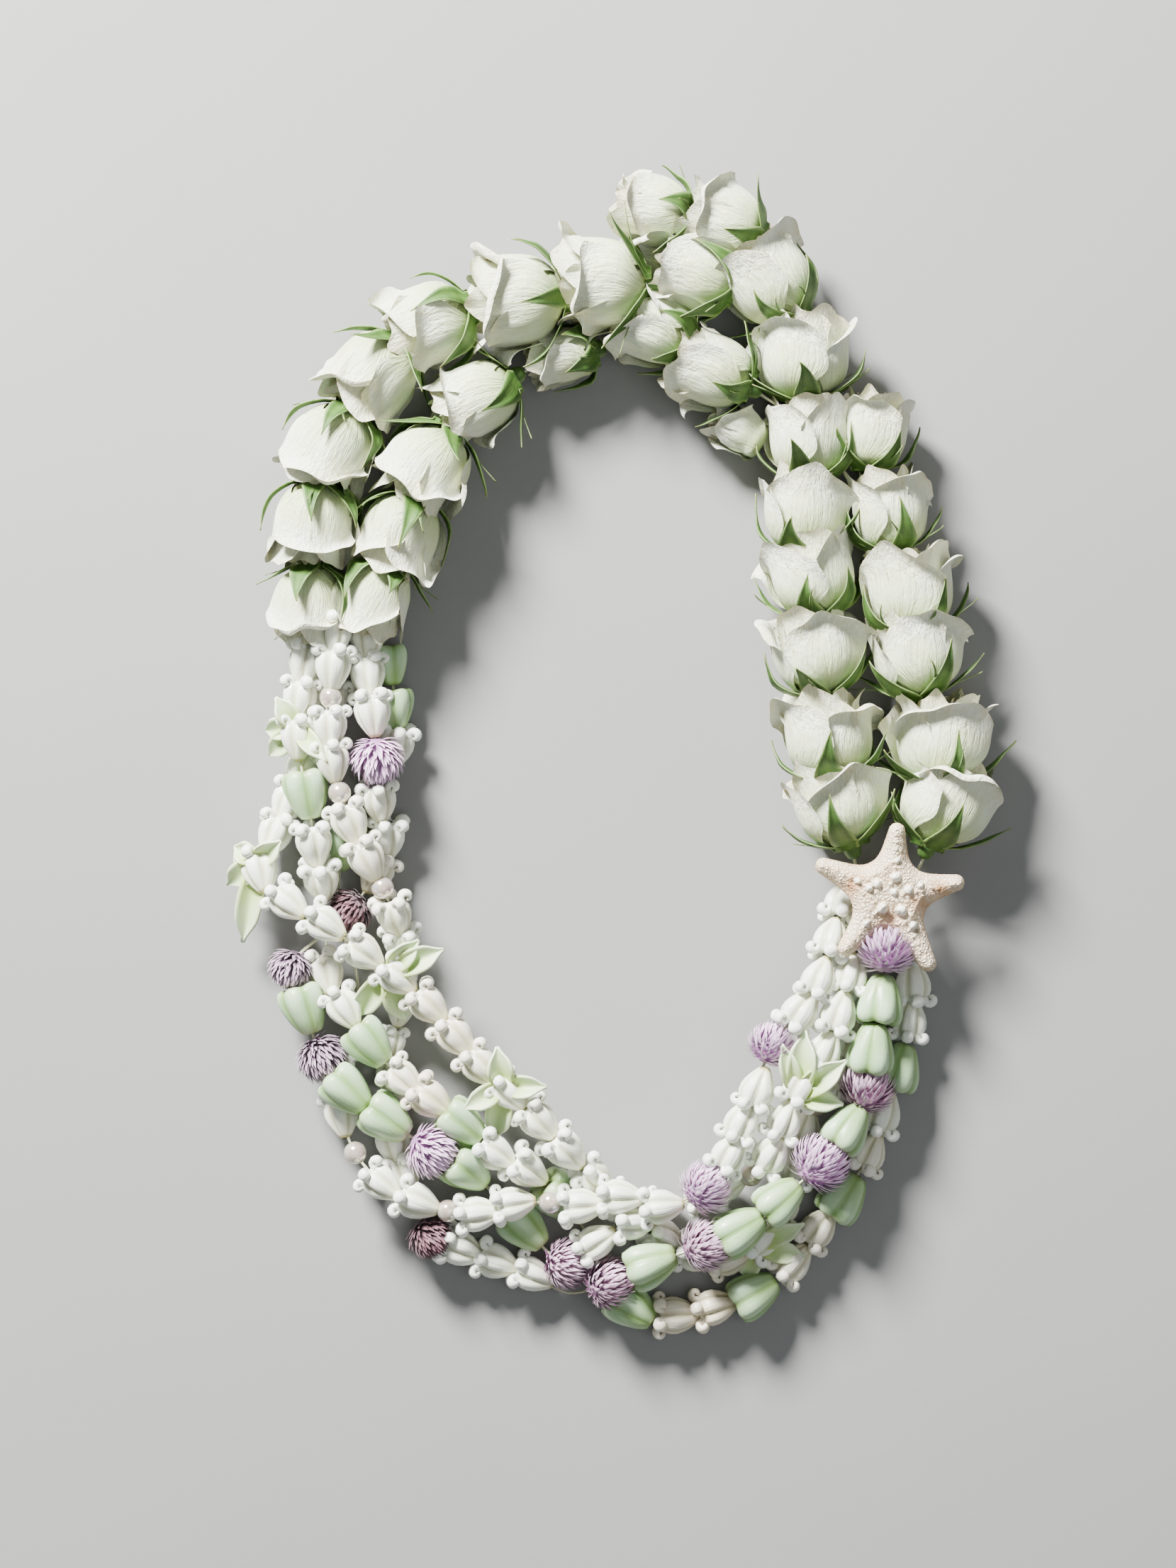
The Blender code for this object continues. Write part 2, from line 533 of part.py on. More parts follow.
def starfish():
    """A five armed starfish with a ridge along each arm."""
    shape = Shape()
    middle = place(*STARFISH_CENTRE)
    tips = [place(*tip) for tip in STARFISH_TIPS]
    down = Vector((0, 0, -STARFISH_THICKNESS))
    top_centre = shape.point(middle + Vector((0, 0, STARFISH_RIDGE)))
    low_centre = shape.point(middle + down)
    top = []
    low = []
    ridge = []
    for number, tip in enumerate(tips):
        following = tips[(number + 1) % len(tips)]
        reach = tip - middle
        across = Vector((-reach.y, reach.x, 0)).normalized() * STARFISH_TIP_HALF
        half_way = middle + reach * STARFISH_HALF_WAY
        blunt = tip - reach.normalized() * STARFISH_BLUNT
        outline = (
            half_way - across * STARFISH_WIDTHS[0], blunt - across * STARFISH_WIDTHS[1],
            blunt + across * STARFISH_WIDTHS[1], half_way + across * STARFISH_WIDTHS[0],
        )
        bisector = ((tip - middle).normalized() + (following - middle).normalized()).normalized()
        valley = middle + bisector * STARFISH_VALLEY_RADIUS
        top.append([shape.point(corner) for corner in outline] + [shape.point(valley)])
        low.append([shape.point(corner + down) for corner in outline] + [shape.point(valley + down)])
        half_rise, end_rise = (Vector((0, 0, STARFISH_RIDGE * share)) for share in STARFISH_RIDGES)
        ridge_end = tip - reach * STARFISH_RIDGE_END + end_rise
        ridge.append((shape.point(half_way + half_rise), shape.point(ridge_end)))
    rim_top = [number for arm in top for number in arm]
    rim_low = [number for arm in low for number in arm]
    for number in range(len(rim_low)):
        after = (number + 1) % len(rim_low)
        shape.faces.append((rim_low[number], rim_low[after], rim_top[after]))
        shape.faces.append((rim_low[number], rim_top[after], rim_top[number]))
        shape.faces.append((rim_low[number], low_centre, rim_low[after]))
    for number in range(len(tips)):
        before_valley = top[number - 1][4]
        side_in, tip_in, tip_out, side_out, valley = top[number]
        half_ridge, end_ridge = ridge[number]
        shape.faces += [
            (before_valley, side_in, half_ridge), (before_valley, half_ridge, top_centre),
            (side_in, tip_in, end_ridge), (side_in, end_ridge, half_ridge), (tip_in, tip_out, end_ridge),
            (tip_out, side_out, end_ridge), (end_ridge, side_out, half_ridge), (side_out, valley, half_ridge),
            (half_ridge, valley, top_centre),
        ]
    return shape


def grown(shape, amount):
    """The same solid with every face moved out by an amount."""
    points = np.array([tuple(point) for point in shape.points])
    faces = np.array(shape.faces)
    normals = np.cross(points[faces[:, 1]] - points[faces[:, 0]], points[faces[:, 2]] - points[faces[:, 0]])
    normals /= np.maximum(np.linalg.norm(normals, axis=1), NO_LENGTH)[:, None]
    touching = [[] for _ in points]
    for face, normal in zip(faces, normals):
        for corner in face:
            touching[corner].append(normal)
    larger = Shape()
    larger.faces = list(shape.faces)
    for point, around in zip(points, touching):
        around = np.array(around)
        move = np.linalg.lstsq(around, np.full(len(around), amount), rcond=GROW_FLATNESS / shape.reach)[0]
        length = np.linalg.norm(move)
        if length > shape.reach * amount:
            move *= shape.reach * amount / length
        larger.points.append(Vector(point + move))
    return larger


def as_object(name, shape):
    """A Blender object of one solid, its faces turned out."""
    mesh = bpy.data.meshes.new(name)
    mesh.from_pydata([tuple(point) for point in shape.points], [], [tuple(face) for face in shape.faces])
    work = bmesh.new()
    work.from_mesh(mesh)
    bmesh.ops.recalc_face_normals(work, faces=work.faces)
    work.to_mesh(mesh)
    work.free()
    made = bpy.data.objects.new(name, mesh)
    bpy.context.scene.collection.objects.link(made)
    return made


def apply_boolean(target, group, operation, solver):
    """Applies one Boolean with a collection of solids to an object."""
    modifier = target.modifiers.new("combine", "BOOLEAN")
    modifier.operation = operation
    modifier.operand_type = "COLLECTION"
    modifier.collection = group
    modifier.solver = solver
    bpy.context.view_layer.update()
    bpy.context.view_layer.objects.active = target
    bpy.ops.object.modifier_apply(modifier=modifier.name)


def combine(target, shapes, operation, solver):
    """Joins shapes to an object, or cuts them out of it."""
    if not shapes:
        return
    group = bpy.data.collections.new("operands")
    bpy.context.scene.collection.children.link(group)
    for number, shape in enumerate(shapes):
        operand = as_object(f"operand_{number}", shape)
        bpy.context.scene.collection.objects.unlink(operand)
        group.objects.link(operand)
        operand.hide_render = True
        operand.display_type = "WIRE"
    apply_boolean(target, group, operation, solver)
    for operand in list(group.objects):
        mesh = operand.data
        bpy.data.objects.remove(operand)
        bpy.data.meshes.remove(mesh)
    bpy.data.collections.remove(group)


def islands(work):
    """The connected pieces of a mesh, each as a list of faces."""
    left = set(work.faces)
    pieces = []
    while left:
        seed = left.pop()
        piece = [seed]
        queue = [seed]
        while queue:
            face = queue.pop()
            for edge in face.edges:
                for other in edge.link_faces:
                    if other in left:
                        left.remove(other)
                        piece.append(other)
                        queue.append(other)
        pieces.append(piece)
    return pieces


def volume_of(piece):
    """Signed volume inside a list of triangles."""
    total = 0.0
    for face in piece:
        a, b, c = (vertex.co for vertex in face.verts)
        total += a.dot(b.cross(c)) / 6
    return total


def is_closed(work):
    return all(len(edge.link_faces) == 2 for edge in work.edges)


def cleaned(mesh, tolerance):
    """The largest connected body of a mesh without slivers, and whether it is closed."""
    work = bmesh.new()
    work.from_mesh(mesh)
    bmesh.ops.remove_doubles(work, verts=work.verts, dist=tolerance)
    bmesh.ops.dissolve_degenerate(work, edges=work.edges, dist=tolerance)
    bmesh.ops.triangulate(work, faces=work.faces)
    pieces = sorted(islands(work), key=volume_of)
    for piece in pieces[:-1]:
        bmesh.ops.delete(work, geom=piece, context="FACES")
    loose = [vertex for vertex in work.verts if not vertex.link_faces]
    bmesh.ops.delete(work, geom=loose, context="VERTS")
    return work, is_closed(work)


def clean(target):
    """Keeps the largest connected body, with the first tolerance that leaves it closed."""
    for tolerance in CLEAN_TOLERANCES:
        work, closed = cleaned(target.data, tolerance)
        if closed or tolerance == CLEAN_TOLERANCES[-1]:
            work.to_mesh(target.data)
        work.free()
        if closed:
            return True
    return False


def simplify(target, faces_wanted):
    """Closes up short edges until few faces are left."""
    faces_now = len(target.data.polygons)
    if faces_now <= faces_wanted:
        return
    modifier = target.modifiers.new("simplify", "DECIMATE")
    modifier.ratio = faces_wanted / faces_now
    modifier.use_collapse_triangulate = True
    bpy.context.view_layer.objects.active = target
    bpy.ops.object.modifier_apply(modifier=modifier.name)


def volume(target):
    """Volume of an object in cubic mm."""
    work = bmesh.new()
    work.from_mesh(target.data)
    amount = work.calc_volume() / MM ** 3
    work.free()
    return amount


def overlap(target, neighbours):
    """How much of an object lies inside its neighbours, in cubic mm."""
    if not neighbours:
        return 0.0
    trial = target.copy()
    trial.data = target.data.copy()
    bpy.context.scene.collection.objects.link(trial)
    group = bpy.data.collections.new("neighbours")
    bpy.context.scene.collection.children.link(group)
    for neighbour in neighbours:
        group.objects.link(neighbour)
    apply_boolean(trial, group, "DIFFERENCE", "MANIFOLD")
    lost = volume(target) - volume(trial)
    mesh = trial.data
    bpy.data.objects.remove(trial)
    bpy.data.meshes.remove(mesh)
    bpy.data.collections.remove(group)
    return lost


def stray(target, larger):
    """How much of an object lies outside its own enlarged solids, in cubic mm."""
    trial = target.copy()
    trial.data = target.data.copy()
    bpy.context.scene.collection.objects.link(trial)
    combine(trial, larger, "DIFFERENCE", "MANIFOLD")
    left = volume(trial)
    mesh = trial.data
    bpy.data.objects.remove(trial)
    bpy.data.meshes.remove(mesh)
    return left


def finish(target, faces_drawn, neighbours, larger):
    """Cleans a node and takes out short edges where it stays closed and clear. Gives its overlap or None."""
    if not clean(target):
        return None
    whole = target.data.copy()
    stray_now = stray(target, larger)
    for share in SIMPLIFY_SHARES:
        target.data = whole.copy()
        simplify(target, int(share * faces_drawn))
        if not clean(target):
            continue
        overlap_now = abs(overlap(target, neighbours))
        if overlap_now < OVERLAP_ALLOWED and stray(target, larger) < stray_now + STRAY_ALLOWED:
            break
    return overlap_now


def nudged(shape, amount):
    """The same solid moved by a hair."""
    moved = Shape()
    moved.faces = shape.faces
    moved.points = [point + NUDGE_DIRECTION * amount for point in shape.points]
    return moved


def bounds_of(shapes):
    points = np.array([tuple(point) for shape in shapes for point in shape.points])
    return points.min(axis=0), points.max(axis=0)


def corner_box(target):
    points = np.array([tuple(vertex.co) for vertex in target.data.vertices])
    return points.min(axis=0), points.max(axis=0)


def near(first, second, margin):
    return bool(np.all(first[0] < second[1] + margin) and np.all(second[0] < first[1] + margin))


def floor_slab():
    """A block under the floor that cuts flat resting spots."""
    shape = Shape()
    rings = []
    for height in (-FLOOR_SLAB, 0.0):
        corners = ((-1, -1), (1, -1), (1, 1), (-1, 1))
        rings.append([(shape.point(Vector((x, y, 0)) * FLOOR_HALF_WIDTH + Vector((0, 0, height))), number)
                      for number, (x, y) in enumerate(corners)])
    shape.loft(rings)
    return shape


def strand_items(name):
    """Kind, middle, direction and room for string of every item of a crown strand."""
    rows = CROWN_STRANDS[name]
    points = [place(*row[1:]) for row in rows]
    items = []
    for number, row in enumerate(rows):
        before = points[max(number - 1, 0)]
        after = points[min(number + 1, len(points) - 1)]
        spacing = min((points[number] - other).length for other in (before, after) if other != points[number])
        items.append((row[0], points[number], (after - before).normalized(), STRING_SHARE * spacing / MM))
    return items


def open_petals_of(name):
    """Every open petal of a crown strand."""
    items = strand_items(name)
    shapes = []
    for strand, number, petals in OPEN_PETALS:
        if strand == name:
            kind, middle, direction, room = items[number]
            root = middle - direction * COROLLA_ROOT
            for right, down, height, width in petals:
                shapes.append(open_petal(root, place(right, down, height), width))
    return shapes


def strand_cutters(items):
    """The strand told as separate solids, one from each item to the next."""
    shapes = []
    for first, second in zip(items, items[1:]):
        shape = Shape()
        shape.loft(item_rings(shape, *first) + item_rings(shape, *second)[:1])
        shape.drop_unused()
        shapes.append(shape)
    last = Shape()
    last.loft(item_rings(last, *items[-1]))
    return shapes + [last]


def material(name, colour, roughness):
    made = bpy.data.materials.new(name)
    made.use_nodes = True
    shader = made.node_tree.nodes["Principled BSDF"]
    shader.inputs["Base Color"].default_value = (*colour, 1.0)
    shader.inputs["Roughness"].default_value = roughness
    return made


def all_nodes():
    """Every node's name, solids, the same solids for cutting, and colour. The strings come first."""
    nodes = []
    for name, (roses, side_run) in ROSE_STRANDS.items():
        shapes = [calyx_run(roses, start=ROSE_STRING_STARTS[name])]
        cutters = calyx_cutters(roses, start=ROSE_STRING_STARTS[name])
        if side_run:
            shapes.append(calyx_run(*side_run))
            cutters += calyx_cutters(*side_run)
        nodes.append((name, shapes, cutters, GREEN))
    for name in CROWN_STRANDS:
        items = strand_items(name)
        petals = open_petals_of(name)
        nodes.append((name, [strand_run(items)] + petals, strand_cutters(items) + petals, WHITE))
    nodes.append(("starfish", [starfish()], None, SAND))
    kinds = (("G", GLOBE_RINGS, "globe", PURPLE), ("B", BUD_RINGS, "bud", PALE_GREEN))
    for kind, steps, label, colour in kinds:
        count = 0
        for name in CROWN_STRANDS:
            for item_kind, middle, direction, room in strand_items(name):
                if item_kind == kind:
                    count += 1
                    nodes.append((f"{label}_{count:02d}", [bored(steps, middle, direction)], None, colour))
    for number, group in enumerate(ROSE_GROUPS, 1):
        nodes.append((f"rose_petals_{number:02d}", [rose_petals(rose) for rose in group], None, CREAM))
    return nodes


def build():
    for old in list(bpy.data.objects):
        bpy.data.objects.remove(old)
    slab = floor_slab()
    finished = []
    made = []
    for name, shapes, cutting, colour in all_nodes():
        cutters = []
        for shape in cutting or shapes:
            box = bounds_of([shape])
            for other, other_box in finished:
                if other not in cutters and near(box, other_box, GAP):
                    cutters.append(other)
        if bounds_of(shapes)[0][2] < 0:
            cutters.append(slab)
        faces_drawn = sum(len(shape.faces) for shape in shapes)
        box = bounds_of(shapes)
        neighbours = [other for other, other_box in made if near(box, other_box, GAP)]
        larger = [grown(shape, GAP) for shape in cutting or shapes]
        best = None
        for nudge, solver in ATTEMPTS:
            target = as_object(name, nudged(shapes[0], nudge))
            others = [nudged(shape, -nudge * number) for number, shape in enumerate(shapes[1:], 1)]
            combine(target, others, "UNION", solver)
            combine(target, cutters, "DIFFERENCE", solver)
            left = finish(target, faces_drawn, neighbours, larger)
            if left is None or best and left >= best[0]:
                bpy.data.objects.remove(target)
                continue
            if best:
                bpy.data.objects.remove(best[1])
            best = (left, target)
            if left < OVERLAP_ALLOWED:
                break
        target = best[1]
        target.name = name
        target.data.name = name
        target.data.materials.append(material(name, *colour))
        finished += [(shape, bounds_of([shape])) for shape in larger]
        made.append((target, corner_box(target)))
    lows = np.array([box[0] for target, box in made])
    highs = np.array([box[1] for target, box in made])
    low, high = lows.min(axis=0), highs.max(axis=0)
    shift = np.array(((low[0] + high[0]) / 2, (low[1] + high[1]) / 2, low[2]))
    for target, box in made:
        for vertex in target.data.vertices:
            vertex.co = Vector(np.array(vertex.co) - shift)


build()
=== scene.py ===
"""The looks of the lei: petals, sepals, crown flowers, buds, globes, pearls, strings and a starfish."""

import math

import bpy
import numpy as np
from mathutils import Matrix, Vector


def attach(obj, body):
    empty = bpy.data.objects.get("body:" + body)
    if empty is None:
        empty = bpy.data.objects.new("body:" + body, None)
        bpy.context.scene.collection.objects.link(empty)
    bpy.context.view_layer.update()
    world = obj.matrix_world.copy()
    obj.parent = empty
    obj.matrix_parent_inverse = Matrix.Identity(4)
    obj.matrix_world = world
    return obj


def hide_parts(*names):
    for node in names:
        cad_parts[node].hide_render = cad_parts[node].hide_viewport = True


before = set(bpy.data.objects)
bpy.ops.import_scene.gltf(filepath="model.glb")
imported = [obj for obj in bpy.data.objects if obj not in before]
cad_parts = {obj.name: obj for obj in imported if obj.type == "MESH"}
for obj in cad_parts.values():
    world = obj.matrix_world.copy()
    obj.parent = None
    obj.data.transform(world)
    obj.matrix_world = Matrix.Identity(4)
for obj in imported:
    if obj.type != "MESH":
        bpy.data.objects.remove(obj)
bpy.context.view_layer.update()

MM = 0.001

# Places are laid out on a quarter millimetre grid, counted right and down, as the frame's solids are
GRID = 0.25
GRID_MIDDLE = (867, 1074)
# Where the frame's origin lies from the grid's middle, in mm
SHIFT = (0.567, 4.129, -0.1)

# Camera, in mm: its place, height over the blooms' middle plane and the field's height there
CAMERA_AT = (-9.95, -12.1)
CAMERA_PLANE = 18.0
CAMERA_HEIGHT = 1300.0
FIELD_HEIGHT = 553.0
SENSOR = 24.0
# Floor and lights, in m: a light has a place, size, power and tint
FLOOR_HALF = 3.0
SKY_TINT = (0.95, 0.97, 1.0, 1)
SKY_STRENGTH = 0.23
LIGHTS = (
    ("window", (-0.70, 1.20, 0.95), 0.50, 225.0, (1.0, 1.0, 0.975)),
    ("sky", (0.50, -0.30, 1.7), 1.3, 8.5, (0.92, 0.96, 1.0)),
)

# Rose: length and width in mm that the petal shapes are drawn at
ROSE_LENGTH = 30.0
ROSE_WIDTH = 38.0
# How much of a rose's scale across goes into its length
LENGTH_SHARE = 0.65
# Distance from a rose's foot in mm over which it takes its width
FOOT_BLEND = 8
# Roses: grid place and height, heading in degrees, width in mm and turn in degrees
ROSES = {
    "U": (1182, 1134, 18, 108, 40, 36), "S": (1168, 1042, 19, 96, 41, 33), "Q": (1152, 922, 19, 102, 40, 38),
    "O": (1146, 814, 18, 100, 39, 34), "L": (1133, 724, 18, 91, 36, 37), "J": (1140, 622, 18, 91, 37, 33),
    "I": (1134, 506, 19, 92, 42, 60), "E": (1086, 400, 19, 128, 40, 25), "C": (1022, 318, 18, 158, 34, 36),
    "D": (985, 389, 19, 160, 33, 8), "A": (924, 300, 18, 172, 31, 0), "B": (912, 372, 10, 170, 20, 30),
    "F": (850, 402, 20, 180, 43, 12), "L10": (734, 424, 19, 186, 44, 48), "L9": (610, 456, 19, 204, 38, 2),
    "L7": (530, 528, 19, 230, 39, 6), "L5": (470, 628, 19, 246, 39, 3), "L3": (443, 736, 19, 262, 38, 0),
    "L1": (440, 850, 17, 264, 33, 2),
    "V": (1330, 1134, 19, 70, 41, 8), "T": (1326, 1048, 20, 92, 43, 2), "R": (1292, 924, 19, 98, 40, 0),
    "P": (1284, 838, 19, 97, 40, 3), "M": (1254, 724, 17, 98, 34, 0), "K": (1232, 610, 17, 84, 32, 12),
    "N": (1044, 604, 11, 150, 21, 0), "H": (1008, 524, 18, 156, 34, 33), "G": (926, 462, 17, 158, 34, 10),
    "W": (794, 500, 13, 192, 26, 20), "L8": (676, 562, 18, 212, 35, 38), "L6": (604, 656, 19, 240, 39, 34),
    "L4": (566, 752, 18, 252, 37, 37), "L2": (530, 842, 17, 254, 32, 35),
}
# Roses whose petals share a node, in the order of the nodes
ROSE_GROUPS = (
    ("U",), ("V",), ("S", "T"), ("Q", "R"), ("O", "P"), ("L", "M"), ("J", "K"), ("N", "H"), ("I",), ("E",),
    ("C", "D"), ("A", "F", "B", "G"), ("L10", "W"), ("L9", "L8"), ("L7",), ("L5", "L6"), ("L3", "L4"),
    ("L1", "L2"),
)
INNER_ROSES = ("U", "S", "Q", "O", "L", "J", "I", "E", "D", "F", "L10", "L9", "L7", "L5", "L3", "L1")
OUTER_ROSES = ("V", "T", "R", "P", "M", "K", "H", "G", "W", "L8", "L6", "L4", "L2")
# Roses beside the inner string, which passes them by
SIDE_ROSES = ("C", "A")
ROSE_STRING_STARTS = {"inner": (1216, 1262, 12), "outer": (1282, 1262, 12)}

# Lean of a rose's outer petals out from its axis, in degrees, along their run in mm from the foot
PETAL_RUN = (0, 6, 12, 18, 24, 30, 36)
PETAL_LEAN = (79, 56, 27, 6, -2, 7, 19)
PETAL_FOOT = 1.0
PETAL_FOOT_RADIUS = 4.0
PETAL_ROWS = np.concatenate([np.linspace(0, 0.70, 11), np.linspace(0.73, 1, 14)])
PETAL_COLUMNS = 29
INNER_COLUMNS = 13
FINE_LAYERS = 3
PETAL_FOLDS = 3
# Run in mm over which a petal closes over the heart
CLOSING_RUN = (8, 30)
# Distance from the rim in mm over which it rolls out
ROLL_REACH = 6.5
# Layers of petals: count, half width, length, inset, closing, rim's roll and tip
ROSE_LAYERS = (
    (3, 1.26, (29.5, 34.5), 0.0, 0.00, (1.2, 3.0), 0.09),
    (3, 1.20, (33.5, 35.5), 2.2, 0.08, (0.3, 1.3), 0.07),
    (3, 1.15, (33.5, 35.0), 4.4, 0.19, (0.2, 0.8), 0.05),
    (4, 1.05, (32.0, 34.0), 6.5, 0.27, (0.1, 0.5), 0.0),
    (3, 1.40, (30.0, 32.0), 9.0, 0.34, (0.0, 0.4), 0.0),
)
# Sepals, in mm: how far the tip stands out, least and most length and half width
SEPAL_FLARES = (0.4, 1.2, 2.8, 4.6, 6.6, 9.0)
SEPAL_LENGTHS = (15.0, 24.0)
SEPAL_WIDTHS = (3.2, 4.5)
# Turn of the first sepal from its rose's, as an angle
SEPAL_TURN = 0.63
SEPAL_THICKNESS = 0.35
LOBES = 5
LOBE_ANGLE = 2 * math.pi / LOBES

# Profiles of turned shapes: distance along the axis and radius, in mm
HIP_PROFILE = (
    (-4.4, 0.7), (-4.3, 1.3), (-3.9, 1.9), (-3.1, 2.5), (-1.9, 2.9), (-0.8, 3.0), (0.4, 3.4), (1.4, 4.8),
    (2.2, 6.2),
)
CROWN_PROFILE = (
    (-6.0, 1.4), (-5.9, 3.0), (-5.2, 4.7), (-3.9, 5.9), (-2.0, 6.5), (0.3, 6.4), (2.6, 5.6), (4.7, 4.4),
    (6.4, 3.2), (7.2, 2.6), (7.7, 2.2), (8.4, 1.5),
)
BUD_PROFILE = (
    (-7.4, 1.2), (-7.7, 3.0), (-8.2, 4.9), (-8.3, 6.5), (-7.6, 7.8), (-6.2, 8.5), (-4.4, 8.6), (-2.2, 8.3),
    (0.2, 7.6), (2.6, 6.7), (5.0, 5.6), (7.0, 4.4), (8.2, 3.4), (8.6, 1.2),
)
# A curl's middle, from the crown flower's middle: distance along the axis and out from it
CURL_MIDDLE = (-5.2, 6.1)
# Globe: core's half length and radius in mm, turn from bract to bract, and a bract's half widths in mm
BRACTS = 300
GLOBE_CORE = (6.0, 5.6)
CORE_ENDS = 0.12
BRACT_TURN = 2.39996
BRACT_HALVES = (0.5, 0.8, 0.9, 0.75, 0.42, 0.05)
PEARL_RADIUS = 4.05
PEARL_HOLE = 0.16
PEARL_RIM = 0.9
COROLLA_THICKNESS = 0.8
# How far down a crown flower its open petals start, in mm
COROLLA_ROOT = 3.4
ROSE_STRING_RADIUS = 0.55
CROWN_STRING_RADIUS = 0.5

# Crown strands by number: C crown, c small hidden crown, O crown with open petals, B bud, b small bud,
# G globe, P pearl, S bare string
CROWN_STRANDS = {
    1: (
        ("C", 470, 935, 8), ("C", 462, 985, 8), ("C", 444, 1036, 8), ("C", 424, 1086, 8), ("C", 404, 1132, 9),
        ("C", 384, 1178, 11), ("O", 366, 1228, 15), ("C", 408, 1272, 20), ("C", 460, 1303, 24),
        ("C", 513, 1342, 23), ("O", 561, 1377, 22), ("C", 605, 1416, 21), ("C", 643, 1460, 21),
        ("C", 678, 1502, 21), ("O", 720, 1540, 21), ("C", 760, 1580, 21), ("C", 798, 1622, 20),
        ("C", 838, 1662, 14), ("c", 884, 1692, 8), ("c", 938, 1702, 7), ("c", 992, 1696, 7),
        ("c", 1032, 1678, 8), ("P", 1060, 1660, 12), ("C", 1088, 1628, 18), ("C", 1107, 1580, 20),
        ("O", 1130, 1530, 21), ("C", 1162, 1482, 20), ("C", 1182, 1430, 20), ("C", 1200, 1376, 17),
        ("C", 1212, 1322, 11),
    ),
    2: (
        ("C", 440, 886, 16), ("C", 432, 935, 17), ("C", 422, 985, 17), ("O", 420, 1040, 18),
        ("S", 424, 1076, 18), ("B", 434, 1122, 19), ("C", 444, 1190, 19), ("C", 452, 1242, 15),
        ("S", 458, 1290, 7), ("S", 457, 1330, 7), ("C", 458, 1374, 12), ("C", 486, 1422, 17),
        ("B", 523, 1474, 19), ("C", 568, 1522, 19), ("C", 608, 1550, 20), ("B", 654, 1586, 20),
        ("C", 698, 1625, 19), ("C", 744, 1650, 17), ("B", 790, 1694, 9), ("S", 828, 1748, 4),
        ("S", 852, 1792, 4), ("B", 893, 1850, 9), ("C", 955, 1861, 8), ("C", 1010, 1850, 8),
        ("B", 1068, 1828, 10), ("C", 1120, 1786, 8), ("C", 1156, 1738, 8), ("B", 1194, 1690, 10),
        ("C", 1228, 1630, 9), ("C", 1248, 1574, 9), ("B", 1271, 1506, 10), ("C", 1286, 1442, 9),
        ("C", 1290, 1390, 9), ("C", 1284, 1336, 8),
    ),
    3: (
        ("C", 472, 896, 21), ("C", 470, 942, 22), ("P", 468, 984, 22), ("C", 466, 1026, 22),
        ("C", 470, 1074, 22), ("P", 480, 1118, 22), ("C", 495, 1160, 21), ("C", 518, 1212, 21),
        ("P", 540, 1252, 20), ("C", 556, 1292, 18), ("C", 566, 1335, 12), ("c", 568, 1382, 7),
        ("c", 562, 1428, 7), ("c", 552, 1474, 7), ("c", 546, 1522, 7), ("c", 546, 1570, 7),
        ("C", 552, 1616, 8), ("C", 566, 1662, 8), ("S", 585, 1702, 8), ("G", 604, 1744, 12),
        ("C", 648, 1766, 9), ("C", 699, 1784, 8), ("C", 750, 1804, 8), ("S", 802, 1830, 6),
        ("G", 856, 1812, 15), ("B", 921, 1780, 20), ("G", 990, 1757, 21), ("B", 1046, 1732, 21),
        ("B", 1102, 1690, 21), ("G", 1154, 1642, 21), ("B", 1196, 1588, 21), ("G", 1222, 1540, 17),
        ("B", 1229, 1476, 21), ("B", 1241, 1408, 20), ("G", 1249, 1342, 17), ("S", 1256, 1290, 12),
    ),
    4: (
        ("C", 516, 902, 15), ("C", 518, 952, 16), ("C", 526, 1006, 19), ("G", 532, 1068, 19),
        ("C", 534, 1130, 15), ("C", 546, 1182, 9), ("C", 528, 1232, 7), ("G", 494, 1283, 10),
        ("S", 455, 1318, 13), ("G", 410, 1364, 14), ("B", 430, 1426, 14), ("G", 452, 1490, 15),
        ("B", 493, 1540, 19), ("B", 548, 1580, 19), ("G", 606, 1620, 20), ("B", 660, 1652, 17),
        ("S", 702, 1695, 7), ("B", 742, 1738, 9), ("G", 796, 1785, 12), ("C", 842, 1752, 18),
        ("C", 892, 1724, 18), ("C", 938, 1750, 10), ("C", 984, 1774, 8), ("C", 1030, 1779, 8),
        ("O", 1076, 1750, 10), ("C", 1106, 1702, 8), ("C", 1124, 1650, 8), ("C", 1136, 1602, 8),
        ("P", 1155, 1562, 9), ("C", 1178, 1520, 8), ("C", 1201, 1470, 8), ("C", 1218, 1416, 8),
        ("S", 1226, 1362, 6),
    ),
    5: (
        ("b", 549, 938, 9), ("b", 556, 1000, 9), ("C", 556, 1052, 8), ("S", 534, 1096, 4),
        ("S", 508, 1142, 4), ("B", 482, 1196, 8), ("S", 474, 1254, 4), ("S", 480, 1300, 4),
        ("S", 494, 1350, 4), ("S", 502, 1400, 4), ("S", 496, 1452, 4), ("c", 480, 1510, 6),
        ("C", 480, 1576, 8), ("P", 500, 1628, 13), ("C", 538, 1668, 18), ("C", 588, 1694, 18),
        ("P", 632, 1708, 18), ("C", 674, 1712, 19), ("C", 724, 1698, 19), ("P", 776, 1696, 19),
        ("C", 820, 1700, 20), ("C", 874, 1688, 21), ("C", 932, 1700, 21), ("G", 992, 1676, 21),
        ("C", 1028, 1626, 21), ("C", 1047, 1582, 20), ("C", 1068, 1536, 21), ("G", 1086, 1476, 21),
        ("C", 1128, 1426, 20), ("C", 1154, 1380, 20), ("C", 1172, 1326, 16), ("C", 1190, 1274, 9),
    ),
}
SMALL_CROWN = 0.75
